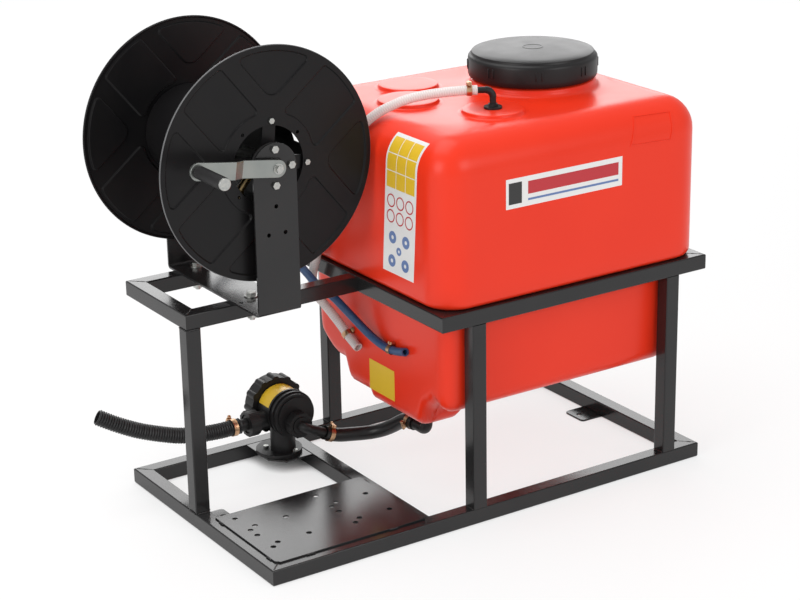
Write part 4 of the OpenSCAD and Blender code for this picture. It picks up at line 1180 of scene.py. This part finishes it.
def flat_parts():
    """The pump plate, the hold-down lugs and the filter's plate."""
    holes = []
    for x in (PUMP_X, PUMP_X + PUMP_PITCH[0]):
        middle = PUMP_PITCH[1] / 2
        for y in (0, middle - PUMP_MID / 2, middle + PUMP_MID / 2, PUMP_PITCH[1]):
            holes.append(circle(x, PUMP_Y + y, PUMP_HOLE_R, 28))
        for dx in (0, FOOT_PITCH[0]):
            for dy in (0, FOOT_PITCH[1]):
                holes.append(circle(x + FOOT_STEP[0] + dx, PUMP_Y + FOOT_STEP[1] + dy, PUMP_HOLE_R, 28))
    x0, y0, x1, y1 = plan_of("pump_plate")
    plate = rounded_outline([(x0 + 8, y0, 1), (x1, y0, 1), (x1, y1, 1), (x0, y1, 1), (x0, y0 + 8, 1)])
    parts = cut_plate(plate, holes, 3.0, 0.5, Matrix.Translation(site(0, 0, TUBE)))
    shaped("drilled_pump_plate", parts, PAINT, replaced=["pump_plate"], sharp=20)

    x0, y0, x1, y1 = plan_of("hold_down_lugs")
    lugs = []
    for inner, tip in ((x0, x0 + LUG_REACH), (x1, x1 - LUG_REACH)):
        corners = [(inner, y0, 1), (tip, y0, 8), (tip, y1, 8), (inner, y1, 1)]
        outline = rounded_outline(corners if tip > inner else corners[::-1])
        hole_x = inner + (LUG_HOLE_IN if tip > inner else -LUG_HOLE_IN)
        hole = circle(hole_x, (y0 + y1) / 2, LUG_HOLE_R, 32)
        lugs.append(cut_plate(outline, [hole], 4.0, 0.6, Matrix.Translation(site(0, 0, 0))))
    shaped("drilled_lugs", joined(lugs), PAINT, replaced=["hold_down_lugs"], sharp=20)

    x0, y0, x1, y1 = plan_of("filter_plate")
    corner = rounded_outline([(x0 + 25, y0, 1), (x1, y0, 1), (x1, y1, 1), (x0, y1, 1), (x0, y0 + 30, 1)])
    part = cut_plate(corner, [], 4.0, 0.6, Matrix.Translation(site(0, 0, TUBE - 4)))
    shaped("filter_corner_plate", part, PAINT, replaced=["filter_plate"], sharp=20)


def skid():
    for node, (outer, start_mitre, end_mitre) in RAILS.items():
        square_tube(node, outer, start_mitre, end_mitre)
    flat_parts()


skid()


def weld_bead(start, end, radius):
    """A rippled bead between two site points."""
    a, b = Vector(start), Vector(end)
    step, ripple_long, sides = 0.8, 2.6, 10
    steps = max(6, int((b - a).length / step))
    path = [site(*a.lerp(b, i / steps)) for i in range(steps + 1)]
    points = []
    for i, place in enumerate(frames_along(path)):
        along = i / steps
        ripple = 1 + 0.12 * math.cos(along * steps * step / ripple_long * 2 * math.pi)
        wander = 1 + 0.25 * noise.noise(path[i] * 180)
        end_taper = math.sqrt(max(0.02, 1 - abs(2 * along - 1) ** 8))
        r = radius * MM * ripple * wander * end_taper
        points += [place @ Vector((r * math.cos(t), r * math.sin(t), 0))
                   for t in (2 * math.pi * k / sides for k in range(sides))]
    faces = quads(steps + 1, sides)
    faces.append(tuple(range(sides)))
    faces.append(tuple(range(steps * sides, (steps + 1) * sides)))
    return points, faces


def post_welds(x, y, z, tube):
    """Beads round the foot or head of an upright tube, on the sides that can be reached."""
    inner_y = y + tube + 0.5 if y < BASE_W / 2 else y - 0.5
    return [weld_bead((x - 0.5, y + 3, z), (x - 0.5, y + tube - 3, z), 2.0),
            weld_bead((x + tube + 0.5, y + 3, z), (x + tube + 0.5, y + tube - 3, z), 2.0),
            weld_bead((x + 3, inner_y, z), (x + tube - 3, inner_y, z), 2.0)]


def welds():
    tube = 30.0
    top = limits("ring_rail_front")[1][2]
    ring_x0 = limits("ring_rail_left")[0][0]
    ring_x1 = limits("ring_rail_right")[1][0]
    shelf_y0 = limits("shelf_rail_front")[0][1]
    shelf_y1 = limits("shelf_rail_back")[1][1]
    cross_x = limits("base_cross_member")[0][0]
    # Each bead: where it starts, where it ends and its radius
    runs = []
    for x0, x1, y0, y1, z in ((0, BASE_L, 0, BASE_W, tube), (ring_x0, ring_x1, 0, BASE_W, top)):
        for x, dx in ((x0, 1), (x1, -1)):
            for y, dy in ((y0, 1), (y1, -1)):
                runs.append(((x + 3 * dx, y + 3 * dy, z - 1.2), (x + 29 * dx, y + 29 * dy, z - 1.2), 1.9))
                corner = (x + 1.2 * dx, y + 1.2 * dy)
                runs.append(((*corner, z - 3), (*corner, z - 27), 1.6))
    butt_x = ring_x0 - 0.3
    for y, dy in ((shelf_y0, 1), (shelf_y1, -1)):
        runs.append(((3, y + 3 * dy, top - 1.2), (29, y + 29 * dy, top - 1.2), 1.9))
        runs.append(((butt_x, y + 2 * dy, top - 0.6), (butt_x, y + 28 * dy, top - 0.6), 2.0))
        runs.append(((butt_x, y + 0.3 * dy, top - 2), (butt_x, y + 0.3 * dy, top - 28), 2.0))
    for y in (tube, BASE_W - tube):
        runs.append(((cross_x + 2, y, tube - 0.6), (cross_x + 28, y, tube - 0.6), 2.0))
    beads = [weld_bead(*run) for run in runs]
    posts = [n for n in NODES if n.startswith("tank_post")] + ["shelf_post"]
    for node in posts:
        x, y = plan_of(node)[:2]
        for z in (tube, top - tube):
            beads += post_welds(x, y, z, tube)
    x0, y0, x1, y1 = plan_of("pump_plate")
    z = tube + 1.2
    for y in (y0 + 18, y1 - 34):
        beads.append(weld_bead((x1 + 0.6, y, z), (x1 + 0.6, y + 18, z), 2.2))
        beads.append(weld_bead((x0 - 0.6, y, z), (x0 - 0.6, y + 18, z), 2.0))
    for x in (x0 + 60, x1 - 80):
        beads.append(weld_bead((x, y0 - 0.6, z), (x + 20, y0 - 0.6, z), 2.0))
    shaped("weld_beads", joined(beads), PAINT, sharp=70)


welds()


# ---------- fittings ----------


def fittings():
    for node, edge in (("return_elbow", 0.5), ("outlet_elbow", 0.8), ("filter_body", 1.5),
                       ("filter_cap", 1.5), ("filter_nuts", 0.8), ("suction_barb", 0.5),
                       ("link_elbow", 0.6), ("strainer_basket", 0.5)):
        softened(node, BLACK, edge)
    softened("lid_seal", SEAL, 0.4)
    softened("filter_cap_seal", SEAL, 0.4)
    softened("filter_cartridge", MESH, 0.3)
    softened("filter_bolts", ZINC, 0.4)


fittings()


# ---------- labels ----------


def printed(name, colour):
    """Printed vinyl film."""
    return grained(name, colour, 0.32, 240.0, 2.0, tuple(0.93 * c for c in colour), colour, (0.27, 0.1))


WHITE_FILM = printed("white_label_film", (0.8, 0.79, 0.78))
YELLOW_FILM = printed("yellow_label_film", (0.78, 0.5, 0.03))
RED_INK = printed("red_label_ink", (0.5, 0.02, 0.03))
BLUE_INK = printed("blue_label_ink", (0.12, 0.2, 0.42))
BLACK_INK = printed("black_label_ink", (0.02, 0.02, 0.02))

# A film's thickness, and how far a label and the printing on it stand off the surface
FILM, LABEL_LIFT, PRINT_LIFT = 0.25, 0.1, 0.36


def patch(name, finish, spot, low, high, columns, rows, lift=PRINT_LIFT):
    """A thin film: spot(u, v) gives a site point and its outward direction for u, v in mm."""
    points = []
    for level in (lift, lift + FILM):
        for j in range(rows + 1):
            for i in range(columns + 1):
                u = low[0] + (high[0] - low[0]) * i / columns
                v = low[1] + (high[1] - low[1]) * j / rows
                at, out = spot(u, v)
                points.append(site(*(Vector(at) + Vector(out) * level)))
    wide = columns + 1
    sheet = wide * (rows + 1)
    under = quads(rows + 1, wide, wrap_columns=False)
    faces = under + [tuple(i + sheet for i in f) for f in under]
    edge = [i for i in range(wide)] + [j * wide + columns for j in range(1, rows + 1)]
    edge += [rows * wide + i for i in range(columns - 1, -1, -1)]
    edge += [j * wide for j in range(rows - 1, 0, -1)]
    for a, b in zip(edge, edge[1:] + edge[:1]):
        faces.append((a, b, b + sheet, a + sheet))
    return shaped(name, (points, faces), finish, sharp=30)


def ring_patch(name, finish, centre, r_out, r_in):
    """A thin ring printed on the left side's label."""
    steps = 32
    low, high = PRINT_LIFT, PRINT_LIFT + FILM
    points = []
    for r, level in ((r_in, low), (r_in, high), (r_out, high), (r_out, low)):
        for u, v in circle(*centre, r, steps):
            at, out = on_label(u, v)
            points.append(site(*(Vector(at) + Vector(out) * level)))
    faces = quads(4, steps, wrap_rows=True)
    return shaped(name, (points, faces), finish, sharp=30)


def on_left(u, v):
    """Up the tank's left side and over its rounded top edge. u is the place in depth, v the way up."""
    bend = TOP - TOP_R
    if v <= bend:
        return (TANK_X0, u, v), (-1, 0, 0)
    a = (v - bend) / TOP_R
    out = (-math.cos(a), 0, math.sin(a))
    return (TANK_X0 + TOP_R + TOP_R * out[0], u, bend + TOP_R * out[2]), out


LABEL_FOOT, LABEL_LEAN = 464.0, 0.08


def on_label(u, v):
    """On the left side's label, which leans a little towards the front."""
    return on_left(u - LABEL_LEAN * (v - LABEL_FOOT), v)


def on_sump(u, v):
    return (LOW_X0, u, v), (-1, 0, 0)


BOWL_X, BOWL_Z, BOWL_R = 290.0, 118.0, 44.0


def on_bowl(u, v):
    """Round the filter's bowl. u is the place in depth, v the angle about its axis in degrees."""
    out = (math.cos(math.radians(v)), 0, math.sin(math.radians(v)))
    return (BOWL_X + BOWL_R * out[0], u, BOWL_Z + BOWL_R * out[2]), out


def labels():
    patch("front_label", WHITE_FILM, on_front, (511, 600), (777, 656), 2, 2, LABEL_LIFT)
    patch("front_label_bar", RED_INK, on_front, (560, 622), (768, 646), 2, 1)
    patch("front_label_block", BLACK_INK, on_front, (517, 608), (546, 648), 1, 1)
    patch("front_label_line", BLUE_INK, on_front, (560, 610), (768, 614), 2, 1)
    patch("side_label", WHITE_FILM, on_label, (99, LABEL_FOOT), (201, 734), 1, 60, LABEL_LIFT)
    for i in range(3):
        for k in range(3):
            u, v = 105 + 31 * i, 629 + 33 * k
            patch(f"side_label_yellow_{i}{k}", YELLOW_FILM, on_label, (u, v), (u + 29, v + 31), 1, 10)
        for k in range(2):
            ring_patch(f"side_label_red_{i}{k}", RED_INK, (120 + 30 * i, 574 + 30 * k), 13, 10.5)
    for i in range(2):
        for k in range(2):
            ring_patch(f"side_label_blue_{i}{k}", BLUE_INK, (128 + 44 * i, 488 + 46 * k), 12, 4)
    ring_patch("side_label_blue_middle", BLUE_INK, (150, 511), 8, 3)
    patch("drain_label", YELLOW_FILM, on_sump, (217, 184), (305, 246), 1, 1, LABEL_LIFT)
    patch("filter_label", YELLOW_FILM, on_bowl, (437, 36), (476, 160), 1, 40, LABEL_LIFT)


labels()


# ---------- studio ----------

FLOOR_WHITE, WORLD_STRENGTH = 0.7, 0.6


def studio():
    """A white floor and soft light from above and behind."""
    floor = bpy.data.objects.new("studio_floor", bpy.data.meshes.new("studio_floor"))
    bpy.context.scene.collection.objects.link(floor)
    wide = 60.0
    floor.data.from_pydata([(-wide, -wide, 0), (wide, -wide, 0), (wide, wide, 0), (-wide, wide, 0)],
                           [], [(0, 1, 2, 3)])
    pale = Finish("studio_floor", (0.9, 0.9, 0.9), 0.9)
    pale.set("Specular IOR Level", 0.0)
    # Seen straight on, the floor shows mostly its own white, so that its shadows stay faint
    camera_ray = pale.node("ShaderNodeLightPath", output="Is Camera Ray")
    glossy_ray, through_ray = [Wire(pale, camera_ray.socket.node.outputs[name])
                               for name in ("Is Glossy Ray", "Is Transmission Ray")]
    # Under the pump plate and beside the rails no light reaches it, and it stays in shadow
    covered_near = 0.08
    open_sky = pale.node("ShaderNodeAmbientOcclusion", {"samples": 16}, {"Distance": covered_near},
                         output=1)
    uncovered = (open_sky * 2.5 - 0.4).larger(0.0).smaller(1.0)
    seen = (camera_ray + glossy_ray + through_ray) * FLOOR_WHITE * uncovered
    white = pale.node("ShaderNodeEmission", values={"Color": (1, 1, 1, 1), "Strength": 1.0})
    mixed = pale.node("ShaderNodeMixShader", values={0: seen})
    lit = Wire(pale, pale.shader.outputs[0])
    pale.feed(mixed.socket.node.inputs[1], lit)
    pale.feed(mixed.socket.node.inputs[2], white)
    pale.feed(pale.tree.nodes["Material Output"].inputs["Surface"], mixed)
    floor.data.materials.append(pale.material)

    world = bpy.data.worlds.new("studio")
    bpy.context.scene.world = world
    world.use_nodes = True
    sky = world.node_tree.nodes["Background"]
    sky.inputs["Color"].default_value = (1, 1, 1, 1)
    sky.inputs["Strength"].default_value = WORLD_STRENGTH

    def softbox(name, place, aim, width, height, power):
        lamp = bpy.data.lights.new(name, "AREA")
        lamp.shape = "RECTANGLE"
        lamp.size, lamp.size_y = width, height
        lamp.energy = power
        holder = bpy.data.objects.new(name, lamp)
        holder.location = place
        holder.rotation_mode = "QUATERNION"
        holder.rotation_quaternion = (Vector(aim) - Vector(place)).to_track_quat("-Z", "Y")
        bpy.context.scene.collection.objects.link(holder)

    softbox("top_softbox", (-0.3, 0.6, 3.4), (0, 0, 0.3), 3.0, 2.4, 56)
    softbox("back_softbox", (2.6, 4.2, 2.2), (0, 0, 0.3), 4.0, 2.2, 76)
    softbox("left_softbox", (-3.4, -1.0, 1.8), (0, 0, 0.3), 1.8, 2.0, 44)
    softbox("front_softbox", (1.2, -4.0, 2.2), (0, 0, 0.4), 2.2, 1.6, 42)
    bpy.context.scene.view_settings.view_transform = "Standard"


studio()
